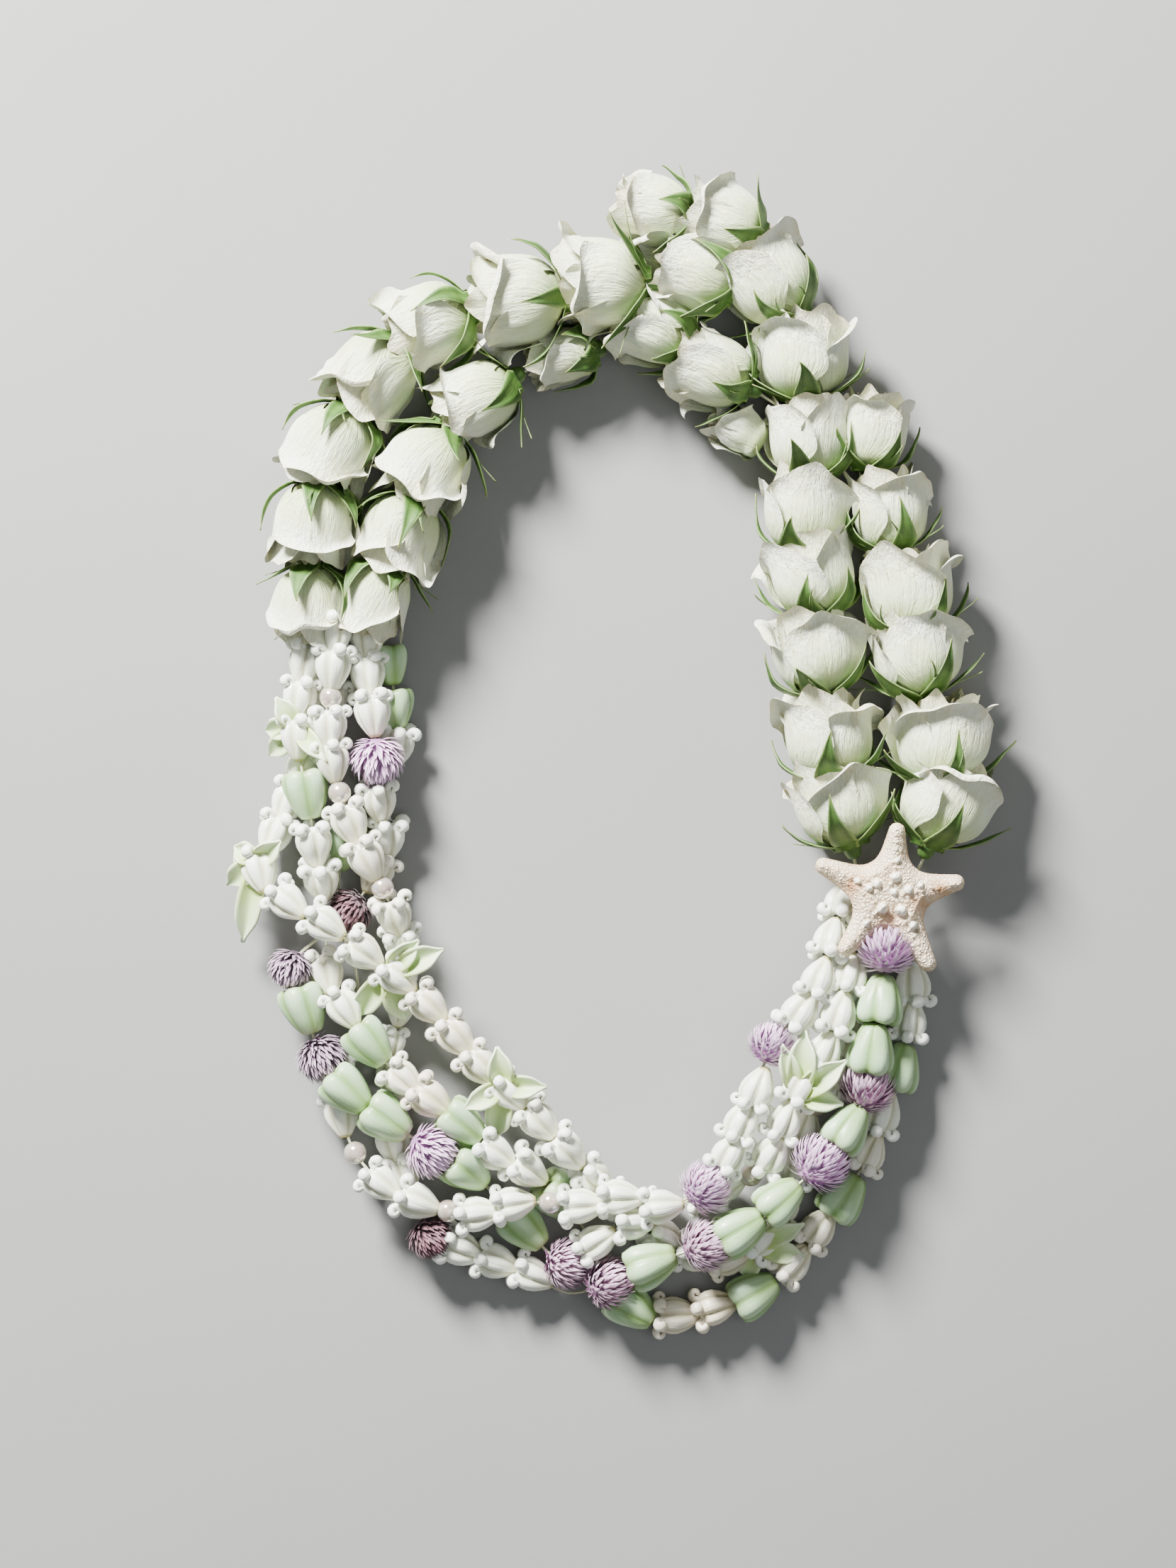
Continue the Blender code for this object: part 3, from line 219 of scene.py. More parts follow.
# Crown flowers that have turned cream or tan: strand, item number and age from 0 to 1
AGED_CROWNS = {
    1: {9: 0.1, 11: 0.25, 12: 0.28, 13: 0.25, 15: 0.1},
    2: {10: 0.15, 13: 0.2, 14: 0.4, 22: 0.4, 23: 0.5, 25: 0.25, 26: 0.3, 28: 0.2},
    3: {4: 0.1, 6: 0.15, 7: 0.2, 9: 0.2},
    4: {4: 0.1, 6: 0.2, 23: 0.35, 25: 0.25},
}
SMALL_BUD = 0.80

# Open petals: strand, item number, and for each petal its tip place, height and width in mm
OPEN_PETALS = (
    (1, 6, ((318, 1249, 12, 9), (339, 1331, 10, 9), (397, 1186, 20, 8), (328, 1194, 12, 8))),
    (1, 10, ((627, 1338, 24, 9), (569, 1441, 14, 10), (592, 1325, 26, 8), (500, 1436, 14, 9))),
    (1, 14, ((698, 1606, 14, 9), (772, 1530, 26, 8), (655, 1562, 26, 8), (702, 1474, 27, 9))),
    (1, 25, ((1134, 1452, 26, 10), (1192, 1494, 26, 9), (1101, 1470, 27, 7), (1188, 1556, 24, 8))),
    (2, 3, ((372, 1030, 14, 8), (378, 1066, 12, 8), (462, 1074, 27, 7), (390, 984, 22, 8))),
    (4, 24, ((1138, 1776, 12, 8), (1052, 1810, 5, 8), (1030, 1722, 14, 8), (1136, 1728, 14, 7))),
)
# Globes drawn darker or mauve, by number; the others are lilac
DARKER_GLOBES = {"maroon": (1, 8), "dusky": (9, 10), "mauve": (2, 3, 5, 12)}
GLOBE_SIZES = (1.0, 1.12, 1.12, 1.28, 1.2, 1.24, 1.14, 1.0, 0.95, 1.1, 1.18, 1.08, 1.14, 1.0)
# The globe that lies over the starfish's arms: its number and lift in mm
TOP_GLOBE = (6, 6.0)

STARFISH_CENTRE = (1252, 1263, 27)
# Arms: round tip's length, half width at the centre and taper in mm, and the field's value at the rim
ARM_TIP = 3.0
ARM_WIDTH = 7.4
ARM_TAPER = 4.7
ARM_EDGE = 0.30
# Large knobs and hollows, in mm from the centre: place and radius, and a hollow's depth
STARFISH_TUBERCLES = (
    (1.8, 6.8, 1.7), (-4.8, 4.4, 1.6), (-7.5, 3.0, 1.4), (6.2, 2.4, 1.6), (-2.8, -4.2, 1.9), (3.8, -5.0, 1.9),
    (8.2, -10.2, 1.5), (-11.5, 5.5, 1.2), (1.2, 1.6, 1.3), (10.5, 3.8, 1.1), (-8.5, -9.5, 1.2),
    (2.4, 12.5, 1.1),
)
# Hollows are also drawn tan: the first partly in its own colour and partly as painted shade, the shallow
# others as painted shade along the arms' sides
STARFISH_HOLLOWS_AND_SHADE = (
    (-0.5, -9.6, 3.4, 2.6), (9.5, -2.6, 3.0, 0.9), (17.0, 2.2, 2.6, 0.4), (-13.0, 3.6, 3.0, 0.5),
)
STARFISH_TIPS = ((1263, 1160, 29), (1149, 1216, 26), (1184, 1345, 25), (1313, 1368, 25), (1357, 1242, 27))

# Height under which blooms are pressed against the surface they lie on
PRESS_HEIGHT = 5.0
PRESS_REST = 0.25
# Height over which petals bend over more and more, and how much further they reach
CROWDED = 37.0
CROWDED_SPAN = 7.0

# Starts of the random numbers
ROSE_SEED = 100
SEPAL_SEED = 500
SMALL_BUD_SEED = 31
STARFISH_SEED = 11
# Colours of a bract's root, blade and tip
GLOBE_COLOURS = {
    "lilac": ((0.34, 0.15, 0.33), (0.50, 0.29, 0.49), (0.74, 0.56, 0.72)),
    "mauve": ((0.26, 0.11, 0.21), (0.42, 0.24, 0.36), (0.66, 0.49, 0.58)),
    "dusky": ((0.06, 0.03, 0.05), (0.16, 0.10, 0.15), (0.42, 0.33, 0.40)),
    "maroon": ((0.04, 0.015, 0.02), (0.09, 0.04, 0.05), (0.20, 0.10, 0.115)),
}
WHITE = (1.0, 1.0, 1.0)
# How far light of each colour goes into green petals, in m
GREEN_GLOW = (0.001, 0.0014, 0.0006)

rng = np.random.default_rng(7)


def place(right, down, height):
    """A grid place and a height as a point of the frame, in mm."""
    return np.array(((right - GRID_MIDDLE[0]) * GRID - SHIFT[0], (GRID_MIDDLE[1] - down) * GRID - SHIFT[1],
                     height - SHIFT[2]))


def unit(vector):
    return vector / np.linalg.norm(vector)


def axes_along(direction):
    """Unit vectors along a direction and two across it, the first of them level."""
    along = unit(np.asarray(direction, dtype=float))
    across = np.array((-along[1], along[0], 0.0))
    if np.linalg.norm(across) < 0.01:
        across = np.array((1.0, 0.0, 0.0))
    across = unit(across)
    return along, across, np.cross(along, across)


def about_axis(origin, axes, along, radius, angle):
    """Points told by distance along an axis, radius and angle, as arrays."""
    along, radius, angle = np.broadcast_arrays(along, radius, angle)
    a, b, c = axes
    spoke = np.cos(angle)[..., None] * b + np.sin(angle)[..., None] * c
    return origin + along[..., None] * a + radius[..., None] * spoke


def smooth(low, high, value):
    t = np.clip((value - low) / (high - low), 0, 1)
    return t * t * (3 - 2 * t)


def pressed(points):
    """Points near the surface below pushed up as if lying on it, and the highest ones pressed down."""
    z = points[:, 2]
    span = PRESS_HEIGHT - PRESS_REST
    points[:, 2] = np.where(z < PRESS_HEIGHT, PRESS_REST + span * np.exp((z - PRESS_HEIGHT) / span), z)
    z = points[:, 2]
    over = 1 - np.exp((CROWDED - z) / CROWDED_SPAN)
    points[:, 2] = np.where(z > CROWDED, CROWDED + CROWDED_SPAN * over, z)
    return points


def ring(count):
    """Angles all round, evenly spaced."""
    return np.linspace(0, 2 * np.pi, count + 1)[:-1]


def profile(pairs):
    """Distances along an axis and radii, each as a column."""
    return np.array(pairs).T[:, :, None]


def units(vectors):
    return vectors / np.maximum(np.linalg.norm(vectors, axis=1), 1e-9)[:, None]


class Batch:
    """Nets of quads gathered into one mesh, mapped across and along, with a shade and age for each point."""

    def __init__(self):
        self.nets = []
        self.count = 0

    def net(self, points, closed=False, shade=0.0, age=0.0):
        """Adds a net of rows and columns. A closed net joins its last column to its first."""
        rows, columns = points.shape[:2]
        number = self.count + np.arange(rows * columns).reshape(rows, columns)
        if closed:
            number = np.concatenate([number, number[:, :1]], axis=1)
        quads = np.stack([number[:-1, :-1], number[:-1, 1:], number[1:, 1:], number[1:, :-1]], axis=-1)
        wide = number.shape[1] - 1
        across = np.arange(wide + 1) / wide
        along = np.arange(rows) / (rows - 1)
        corner = np.empty((rows - 1, wide, 4, 2))
        corner[..., 0, 0] = corner[..., 3, 0] = across[:-1]
        corner[..., 1, 0] = corner[..., 2, 0] = across[1:]
        corner[..., 0, 1] = corner[..., 1, 1] = along[:-1, None]
        corner[..., 2, 1] = corner[..., 3, 1] = along[1:, None]
        shades = np.broadcast_to(shade, (rows, columns))
        self.nets.append((points.reshape(-1, 3), quads.reshape(-1, 4), corner.reshape(-1, 2),
                          shades.reshape(-1), np.full(rows * columns, age)))
        self.count += rows * columns

    def make(self, name, material, nodes, slot, press=True, thickness=0.0):
        """The gathered nets as one smooth piece that rides on the frame and stands for nodes of it."""
        points, quads, maps, shade, age = (np.concatenate(part) for part in zip(*self.nets))
        if press:
            points = pressed(points)
        mesh = bpy.data.meshes.new(name)
        mesh.vertices.add(len(points))
        mesh.vertices.foreach_set("co", (points * MM).ravel())
        mesh.loops.add(quads.size)
        mesh.loops.foreach_set("vertex_index", quads.ravel().astype(np.int32))
        mesh.polygons.add(len(quads))
        mesh.polygons.foreach_set("loop_start", np.arange(0, quads.size, 4, dtype=np.int32))
        mesh.polygons.foreach_set("use_smooth", np.ones(len(quads), dtype=bool))
        mesh.uv_layers.new(name="UVMap").data.foreach_set("uv", maps.ravel())
        colour = np.stack([shade, age, shade, np.ones_like(shade)], axis=1)
        mesh.color_attributes.new("shade", "FLOAT_COLOR", "POINT").data.foreach_set("color", colour.ravel())
        mesh.update()
        mesh.validate()
        made = bpy.data.objects.new(name, mesh)
        bpy.context.scene.collection.objects.link(made)
        mesh.materials.append(material)
        if thickness:
            solid = made.modifiers.new("thickness", "SOLIDIFY")
            solid.thickness = thickness * MM
            solid.offset = 0
        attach(made, "root")
        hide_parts(*nodes)


class Nodes:
    """A short way of writing a material's nodes."""

    def __init__(self, name, roughness, **constants):
        self.material = bpy.data.materials.new(name)
        self.material.use_nodes = True
        self.tree = self.material.node_tree
        self.shader = self.tree.nodes["Principled BSDF"]
        self.shader.inputs["Roughness"].default_value = roughness
        for key, value in constants.items():
            self.shader.inputs[key.replace("_", " ")].default_value = value

    def node(self, kind, **settings):
        made = self.tree.nodes.new(kind)
        for key, value in settings.items():
            if hasattr(made, key):
                setattr(made, key, value)
            else:
                made.inputs[key.replace("_", " ")].default_value = value
        return made

    def link(self, source, target):
        self.tree.links.new(source, target)

    def fed(self, kind, source, entry, result, **settings):
        """A new node's result, with the source linked to its entry."""
        made = self.node(kind, **settings)
        self.link(source, made.inputs[entry])
        return made.outputs[result]

    def space(self, kind, scale=(1, 1, 1)):
        """Coordinates of the object or of its map, scaled."""
        source = self.node("ShaderNodeTexCoord").outputs[kind]
        return self.fed("ShaderNodeMapping", source, "Vector", "Vector", Scale=scale)

    def map_part(self, axis):
        """The map across, X, or along, Y."""
        source = self.node("ShaderNodeTexCoord").outputs["UV"]
        return self.fed("ShaderNodeSeparateXYZ", source, "Vector", axis)

    def shade(self, axis="X"):
        """The points' shade, X, or age, Y."""
        source = self.node("ShaderNodeAttribute", attribute_name="shade").outputs["Color"]
        return self.fed("ShaderNodeSeparateXYZ", source, "Vector", axis)

    def noise(self, vector, scale, detail=4.0, roughness=0.5):
        return self.fed("ShaderNodeTexNoise", vector, "Vector", "Fac", Scale=scale, Detail=detail,
                        Roughness=roughness)

    def specks(self, scale, detail):
        """Noise that is even in all directions."""
        return self.noise(self.space("Object"), scale, detail)

    def lines(self, across, along, detail, roughness=0.5):
        """Noise drawn out along the map."""
        return self.noise(self.space("UV", (across, along, 1)), 1.0, detail, roughness)

    def ramp(self, value, *stops):
        made = self.node("ShaderNodeValToRGB")
        elements = made.color_ramp.elements
        while len(elements) < len(stops):
            elements.new(0.5)
        for element, (position, colour) in zip(elements, stops):
            element.position = position
            element.color = (*colour, 1)
        self.link(value, made.inputs["Fac"])
        return made.outputs["Color"]

    def mix(self, factor, first, second, blend="MIX"):
        made = self.node("ShaderNodeMix", data_type="RGBA", blend_type=blend)
        for source, entry in ((factor, "Factor"), (first, "A"), (second, "B")):
            target = made.inputs[entry]
            if isinstance(source, (int, float)):
                target.default_value = source
            elif isinstance(source, tuple):
                target.default_value = (*source, 1)
            else:
                self.link(source, target)
        return made.outputs["Result"]

    def times(self, first, *others):
        """Colours multiplied by one another."""
        for other in others:
            first = self.mix(1.0, first, other, "MULTIPLY")
        return first

    def bump(self, *layers):
        """Bumps from the coarsest to the finest, each a height, a strength and a distance in mm."""
        before = None
        for height, strength, distance in layers:
            made = self.node("ShaderNodeBump", Strength=strength, Distance=distance * MM)
            self.link(height, made.inputs["Height"])
            if before:
                self.link(before, made.inputs["Normal"])
            before = made.outputs["Normal"]
        self.link(before, self.shader.inputs["Normal"])

    def colour(self, source):
        self.link(source, self.shader.inputs["Base Color"])

    def mapped(self, value, **bounds):
        return self.fed("ShaderNodeMapRange", value, "Value", "Result", **bounds)

    def rough(self, value, low, high):
        self.link(self.mapped(value, To_Min=low, To_Max=high), self.shader.inputs["Roughness"])


def rose_material():
    """Creamy petals, greener at the base and warmer at the rim, with fine veins that run to the rim, and
    painted shade, cream, on the inner petals and towards their foot.
    """
    m = Nodes("rose_petal", 0.5, Subsurface_Weight=0.12, Sheen_Weight=0.15, Specular_IOR_Level=0.35,
              Subsurface_Radius=(0.003, 0.0022, 0.0012), Subsurface_Scale=1.0)
    base = m.ramp(m.map_part("Y"), (0.0, (0.40, 0.56, 0.20)), (0.20, (0.65, 0.77, 0.48)),
                  (0.45, (0.82, 0.88, 0.75)), (0.86, (0.87, 0.91, 0.83)), (1.0, (0.86, 0.84, 0.70)))
    patches = m.ramp(m.specks(90, 3), (0.35, (0.94, 0.91, 0.80)), (0.65, WHITE))
    veins = m.lines(46, 3.5, 3, 0.6)
    lined = m.ramp(veins, (0.38, (0.90, 0.88, 0.80)), (0.62, WHITE))
    # Painted shade: cream darkening on the inner petals and towards each petal's foot
    painted_depth_shade = m.ramp(m.shade(), (0.0, WHITE), (1.0, (0.80, 0.79, 0.58)))
    m.colour(m.times(base, patches, lined, painted_depth_shade))
    crinkle = m.lines(24, 6, 4, 0.62)
    m.rough(crinkle, 0.42, 0.62)
    m.bump((crinkle, 0.85, 1.8), (veins, 0.6, 0.6))
    return m.material


def sepal_material():
    """Dark green, paler at both edges and reddish at the tip."""
    m = Nodes("sepal", 0.55, Subsurface_Weight=0.05, Specular_IOR_Level=0.35,
              Subsurface_Radius=(0.001, 0.0012, 0.0005))
    edge, blade = (0.20, 0.28, 0.12), (0.045, 0.105, 0.022)
    side = m.ramp(m.map_part("X"), (0.0, edge), (0.14, blade), (0.5, (0.085, 0.165, 0.04)), (0.86, blade),
                  (1.0, edge))
    along = m.ramp(m.map_part("Y"), (0.0, (0.9, 1.0, 0.7)), (0.75, WHITE), (1.0, (1.25, 0.95, 0.8)))
    spots = m.ramp(m.specks(260, 3), (0.3, (0.72, 0.76, 0.66)), (0.7, (1.15, 1.12, 1.0)))
    m.colour(m.times(side, along, spots))
    lines = m.lines(16, 3, 2)
    m.rough(lines, 0.45, 0.7)
    m.bump((lines, 0.4, 0.4))
    return m.material


def waxy(name):
    return Nodes(name, 0.42, Subsurface_Weight=0.14, Specular_IOR_Level=0.45, Coat_Weight=0.12,
                 Subsurface_Radius=(0.002, 0.0018, 0.0012))


def waxy_cast(m, patch_scale):
    """Faint patches, and the brown that comes with age."""
    patches = m.ramp(m.specks(patch_scale, 3), (0.3, (0.93, 0.92, 0.90)), (0.7, (1.02, 1.02, 1.0)))
    aged = m.ramp(m.shade("Y"), (0.0, (0.985, 1.0, 1.0)), (1.0, (0.72, 0.52, 0.34)))
    return patches, aged


def crown_material():
    """Waxy white with a pearly cast, painted shade, cream, in the grooves and yellow green at the narrow tip.
    """
    m = waxy("crown_flower")
    along = m.ramp(m.map_part("Y"), (0.0, (0.88, 0.905, 0.84)), (0.55, (0.87, 0.885, 0.80)),
                   (0.82, (0.80, 0.78, 0.60)), (0.95, (0.42, 0.38, 0.16)))
    # Painted shade, cream, in the grooves between the lobes
    painted_groove_shade = m.ramp(m.shade(), (0.0, WHITE), (0.45, (0.92, 0.92, 0.85)), (1.0, (0.66, 0.65, 0.50)))
    m.colour(m.times(along, painted_groove_shade, *waxy_cast(m, 150)))
    fine = m.specks(900, 3)
    m.rough(fine, 0.30, 0.46)
    m.bump((m.lines(70, 4, 3), 0.5, 0.5), (fine, 0.15, 0.15))
    return m.material


def curl_material():
    m = waxy("crown_curl")
    along = m.ramp(m.map_part("Y"), (0.0, (0.82, 0.84, 0.76)), (0.3, (0.89, 0.91, 0.85)),
                   (1.0, (0.82, 0.83, 0.74)))
    m.colour(m.times(along, *waxy_cast(m, 160)))
    fine = m.specks(900, 3)
    m.rough(fine, 0.34, 0.5)
    m.bump((fine, 0.15, 0.2))
    return m.material


def bud_material():
    """Grey green with a yellow green tip, painted highlight on the ridges and painted shade in the folds."""
    m = Nodes("crown_bud", 0.42, Subsurface_Weight=0.1, Specular_IOR_Level=0.45, Coat_Weight=0.1,
              Subsurface_Radius=GREEN_GLOW)
    along = m.ramp(m.map_part("Y"), (0.0, (0.22, 0.30, 0.10)), (0.16, (0.33, 0.44, 0.22)),
                   (0.45, (0.37, 0.53, 0.34)), (0.85, (0.38, 0.52, 0.30)), (1.0, (0.26, 0.32, 0.14)))
    # Painted highlight on the ridges and painted shade in the folds between them
    ridge_highlight_and_fold_shade = m.ramp(m.shade(), (0.0, (0.60, 0.68, 0.40)), (0.4, (0.86, 0.90, 0.80)), (1.0, (1.20, 1.14, 1.22)))
    patches = m.ramp(m.specks(120, 4), (0.3, (0.86, 0.92, 0.78)), (0.7, (1.05, 1.04, 1.04)))
    m.colour(m.times(along, ridge_highlight_and_fold_shade, patches))
    fine = m.specks(700, 4)
    m.rough(fine, 0.34, 0.52)
    m.bump((m.lines(50, 4, 2), 0.3, 0.4), (fine, 0.15, 0.2))
    return m.material


def corolla_material():
    """Yellow green at the root and paler towards the tip and both edges."""
    m = Nodes("corolla", 0.45, Subsurface_Weight=0.1, Specular_IOR_Level=0.4, Subsurface_Radius=GREEN_GLOW)
    along = m.ramp(m.map_part("Y"), (0.0, (0.34, 0.44, 0.08)), (0.3, (0.46, 0.57, 0.22)),
                   (0.6, (0.56, 0.66, 0.42)), (1.0, (0.66, 0.74, 0.56)))
    edge = (1.08, 1.06, 1.10)
    side = m.ramp(m.map_part("X"), (0.0, edge), (0.5, (0.84, 0.92, 0.72)), (1.0, edge))
    patches = m.ramp(m.specks(140, 3), (0.3, (0.88, 0.92, 0.80)), (0.7, (1.04, 1.03, 1.03)))
    m.colour(m.times(along, side, patches))
    lines = m.lines(24, 2, 2)
    m.rough(lines, 0.38, 0.55)
    m.bump((lines, 0.35, 0.4))
    return m.material


def globe_material(name, root, middle, tip):
    """Papery bracts, with the colours of their root, blade and tip."""
    m = Nodes(name, 0.6, Sheen_Weight=0.2, Specular_IOR_Level=0.35, Subsurface_Weight=0.05,
              Subsurface_Radius=(0.001, 0.0008, 0.001))
    along = m.ramp(m.map_part("Y"), (0.0, root), (0.45, middle), (0.8, tip), (1.0, tip))
    dull = (0.80, 0.78, 0.82)
    tint = m.ramp(m.shade(), (0.0, dull), (1.0, (1.16, 1.12, 1.14)))
    patches = m.ramp(m.specks(240, 3), (0.3, dull), (0.7, (1.12, 1.10, 1.10)))
    m.colour(m.times(along, tint, patches))
    lines = m.lines(8, 2, 2)
    m.rough(lines, 0.5, 0.7)
    m.bump((lines, 0.3, 0.2))
    return m.material


def pearl_material():
    m = Nodes("pearl", 0.2, Coat_Weight=1.0, Coat_Roughness=0.06, Specular_IOR_Level=0.8, Metallic=0.3)
    bands = m.specks(220, 3)
    m.colour(m.ramp(bands, (0.3, (0.40, 0.30, 0.28)), (0.5, (0.50, 0.43, 0.35)), (0.7, (0.36, 0.35, 0.37))))
    m.rough(bands, 0.16, 0.3)
    m.bump((m.specks(1500, 3), 0.1, 0.08))
    return m.material


def string_material():
    m = Nodes("string", 0.7)
    twist = m.fed("ShaderNodeTexWave", m.space("UV", (3, 60, 1)), "Vector", "Fac", Scale=1.0, Distortion=0.6,
                  bands_direction="DIAGONAL")
    m.colour(m.ramp(twist, (0.2, (0.34, 0.36, 0.20)), (0.8, (0.66, 0.66, 0.48))))
    m.rough(twist, 0.6, 0.8)
    m.bump((twist, 0.5, 0.2))
    return m.material


def starfish_material():
    """Chalky cream net over tan, partly the hollow's own colour and partly painted shade, with fine grains.
    Knobs are marked by a shade below zero.
    """
    m = Nodes("starfish", 0.75, Specular_IOR_Level=0.3)
    space = m.space("Object")
    cells = m.fed("ShaderNodeTexVoronoi", space, "Vector", "Distance", Scale=760, feature="DISTANCE_TO_EDGE")
    grains = m.fed("ShaderNodeTexVoronoi", space, "Vector", "Distance", Scale=1500)
    net = m.ramp(cells, (0.02, (0.46, 0.32, 0.19)), (0.20, (0.90, 0.81, 0.64)))
    net = m.mix(0.8, (0.90, 0.82, 0.66), net)
    knob = m.mapped(m.shade(), From_Min=0.0, From_Max=-0.7)
    net = m.mix(knob, net, (0.93, 0.89, 0.79))
    # Tan, mixed in by the shade: partly the hollow's own colour, partly painted shade along the arms' sides
    # and rim
    tan = m.ramp(m.noise(space, 150, 4), (0.38, (0.52, 0.30, 0.16)), (0.62, (0.78, 0.58, 0.40)))
    patches = m.ramp(m.noise(space, 210, 4), (0.32, (0.86, 0.80, 0.72)), (0.6, (1.04, 1.03, 1.02)))
    m.colour(m.times(m.mix(m.shade(), net, tan), patches))
    m.rough(grains, 0.65, 0.9)
    # The net is flat on the knobs
    flat = m.mapped(m.shade(), From_Min=-1.0, From_Max=-0.3)
    raised = m.node("ShaderNodeMath", operation="MULTIPLY")
    m.link(flat, raised.inputs[0])
    m.link(cells, raised.inputs[1])
    m.bump((raised.outputs["Value"], 0.9, 1.0), (grains, 0.5, 0.3))
    return m.material


def floor_material():
    m = Nodes("floor", 0.8, Specular_IOR_Level=0.2)
    m.colour(m.ramp(m.specks(3, 3), (0.3, (0.255, 0.255, 0.25)), (0.7, (0.275, 0.275, 0.27))))
    m.bump((m.specks(300, 3), 0.1, 0.3))
    return m.material


def rose_frame(name):
    """Base point, axes, scale across, scale along and turn of a rose."""
    right, down, height, heading, width, turn = ROSES[name]
    direction = np.array((math.cos(math.radians(heading)), math.sin(math.radians(heading)), 0.0))
    scale = width / ROSE_WIDTH
    stretch = 1 - LENGTH_SHARE + LENGTH_SHARE * scale
    base = place(right, down, height) - direction * ROSE_LENGTH * stretch / 2
    return base, axes_along(direction), scale, stretch, math.radians(turn)


def body_run(run, lean_in):
    """How a rose's face leans out from its axis, in radians, at a run in mm from its foot."""
    return np.radians(np.interp(run, PETAL_RUN, PETAL_LEAN)) - lean_in * smooth(*CLOSING_RUN, run)


def body_radius(s):
    """Radius in mm of a rose's outer petals at a distance from its foot."""
    run = np.linspace(0, PETAL_RUN[-1], 73)
    lean = body_run(run, 0.0)
    along = PETAL_FOOT + np.concatenate([[0], np.cumsum(np.cos(lean[1:]) * run[1])])
    out = PETAL_FOOT_RADIUS + np.concatenate([[0], np.cumsum(np.sin(lean[1:]) * run[1])])
    return np.interp(s, along, out)


def spread_at(s, scale):
    """How much wider a rose is than drawn, at a distance from its foot."""
    return 1 + (scale - 1) * np.clip(s / FOOT_BLEND, 0, 1)


def petal(batch, name, angle, half, length, inset, lean_in, roll, point, fine, seed):
    """One petal wrapped round its rose, one side over the next petal and the other under it.
    half: half its width as an angle; inset: how far inside the outer petals it starts, in mm;
    lean_in, roll: how far it closes over the heart and its rim rolls out, in radians; point: its tip."""
    base, axes, scale, stretch, turn = rose_frame(name)
    draw = np.random.default_rng(seed).uniform
    v = (PETAL_ROWS if fine else PETAL_ROWS[::2])[:, None]
    u = np.linspace(-1, 1, PETAL_COLUMNS if fine else INNER_COLUMNS)[None, :]
    uneven = draw(-1, 1)
    top = 1 - 0.22 * np.abs(u) ** 3 - 0.04 * uneven * u + point * np.exp(-((u - 0.2 * uneven) / 0.22) ** 2)
    top += 0.026 * np.sin(draw(4, 7) * u + draw(0, 6))
    run = v * length * top
    to_rim = (length * top - run) / ROLL_REACH
    lean = body_run(run, lean_in)
    bend = roll * (0.50 + 0.50 * np.sin(draw(1.4, 2.2) * u + draw(0, 6)))
    lean += (bend + 0.10) * np.clip(1 - to_rim, 0, 1) ** 1.4
    step = np.diff(run, axis=0, prepend=0)
    s = PETAL_FOOT + np.cumsum(np.cos(lean) * step, axis=0)
    radius = PETAL_FOOT_RADIUS + np.cumsum(np.sin(lean) * step, axis=0) - inset * smooth(0, 0.35, v)
    radius += 0.9 * u * smooth(0.1, 0.5, v)
    radius += draw(0.8, 2.3) * smooth(0.66, 1.0, u) * smooth(0.25, 0.95, v)
    waves = np.sin(draw(2.5, 5.0) * u + draw(0, 6))
    radius += draw(0.2, 0.6) * waves * smooth(0.5, 1, v)
    radius += draw(0.1, 0.25) * np.sin(9 * u + 5 * v + draw(0, 6)) * smooth(0.1, 0.6, v)
    for _ in range(PETAL_FOLDS):
        middle = draw(-0.8, 0.8) + draw(-0.3, 0.3) * v
        depth = draw(0.1, 0.45) * smooth(draw(0.1, 0.4), 0.8, v)
        radius -= depth * np.exp(-((u - middle) / draw(0.07, 0.14)) ** 2)
    width = half * (0.30 + 0.70 * smooth(-0.05, 0.60, v)) * (1 - 0.14 * smooth(0.6, 1.0, v))
    theta = turn + angle + u * width + draw(-0.05, 0.40) * v ** 1.5
    points = about_axis(base, axes, s * stretch, np.maximum(radius, 0.3) * spread_at(s, scale), theta)
    # The shade is painted shade: darker on the inner petals and towards the foot
    batch.net(points, shade=np.clip(inset / 9 + 0.25 * (1 - v), 0, 1))


def rose(batch, name, seed):
    """The petals of one rose, layer under layer, the inner ones closing round its heart."""
    draw = np.random.default_rng(seed).uniform
    start = draw(0, 2 * math.pi)
    for layer, (count, half, lengths, inset, lean_in, rolls, point) in enumerate(ROSE_LAYERS):
        for number in range(count):
            angle = start + 2 * math.pi * (number + 0.5 * layer) / count + draw(-0.16, 0.16)
            petal(batch, name, angle, half * draw(0.94, 1.06), draw(*lengths), inset,
                  lean_in + draw(-0.03, 0.03), draw(*rolls), point * draw(0.3, 1.4),
                  layer < FINE_LAYERS, seed * 31 + layer * 7 + number)


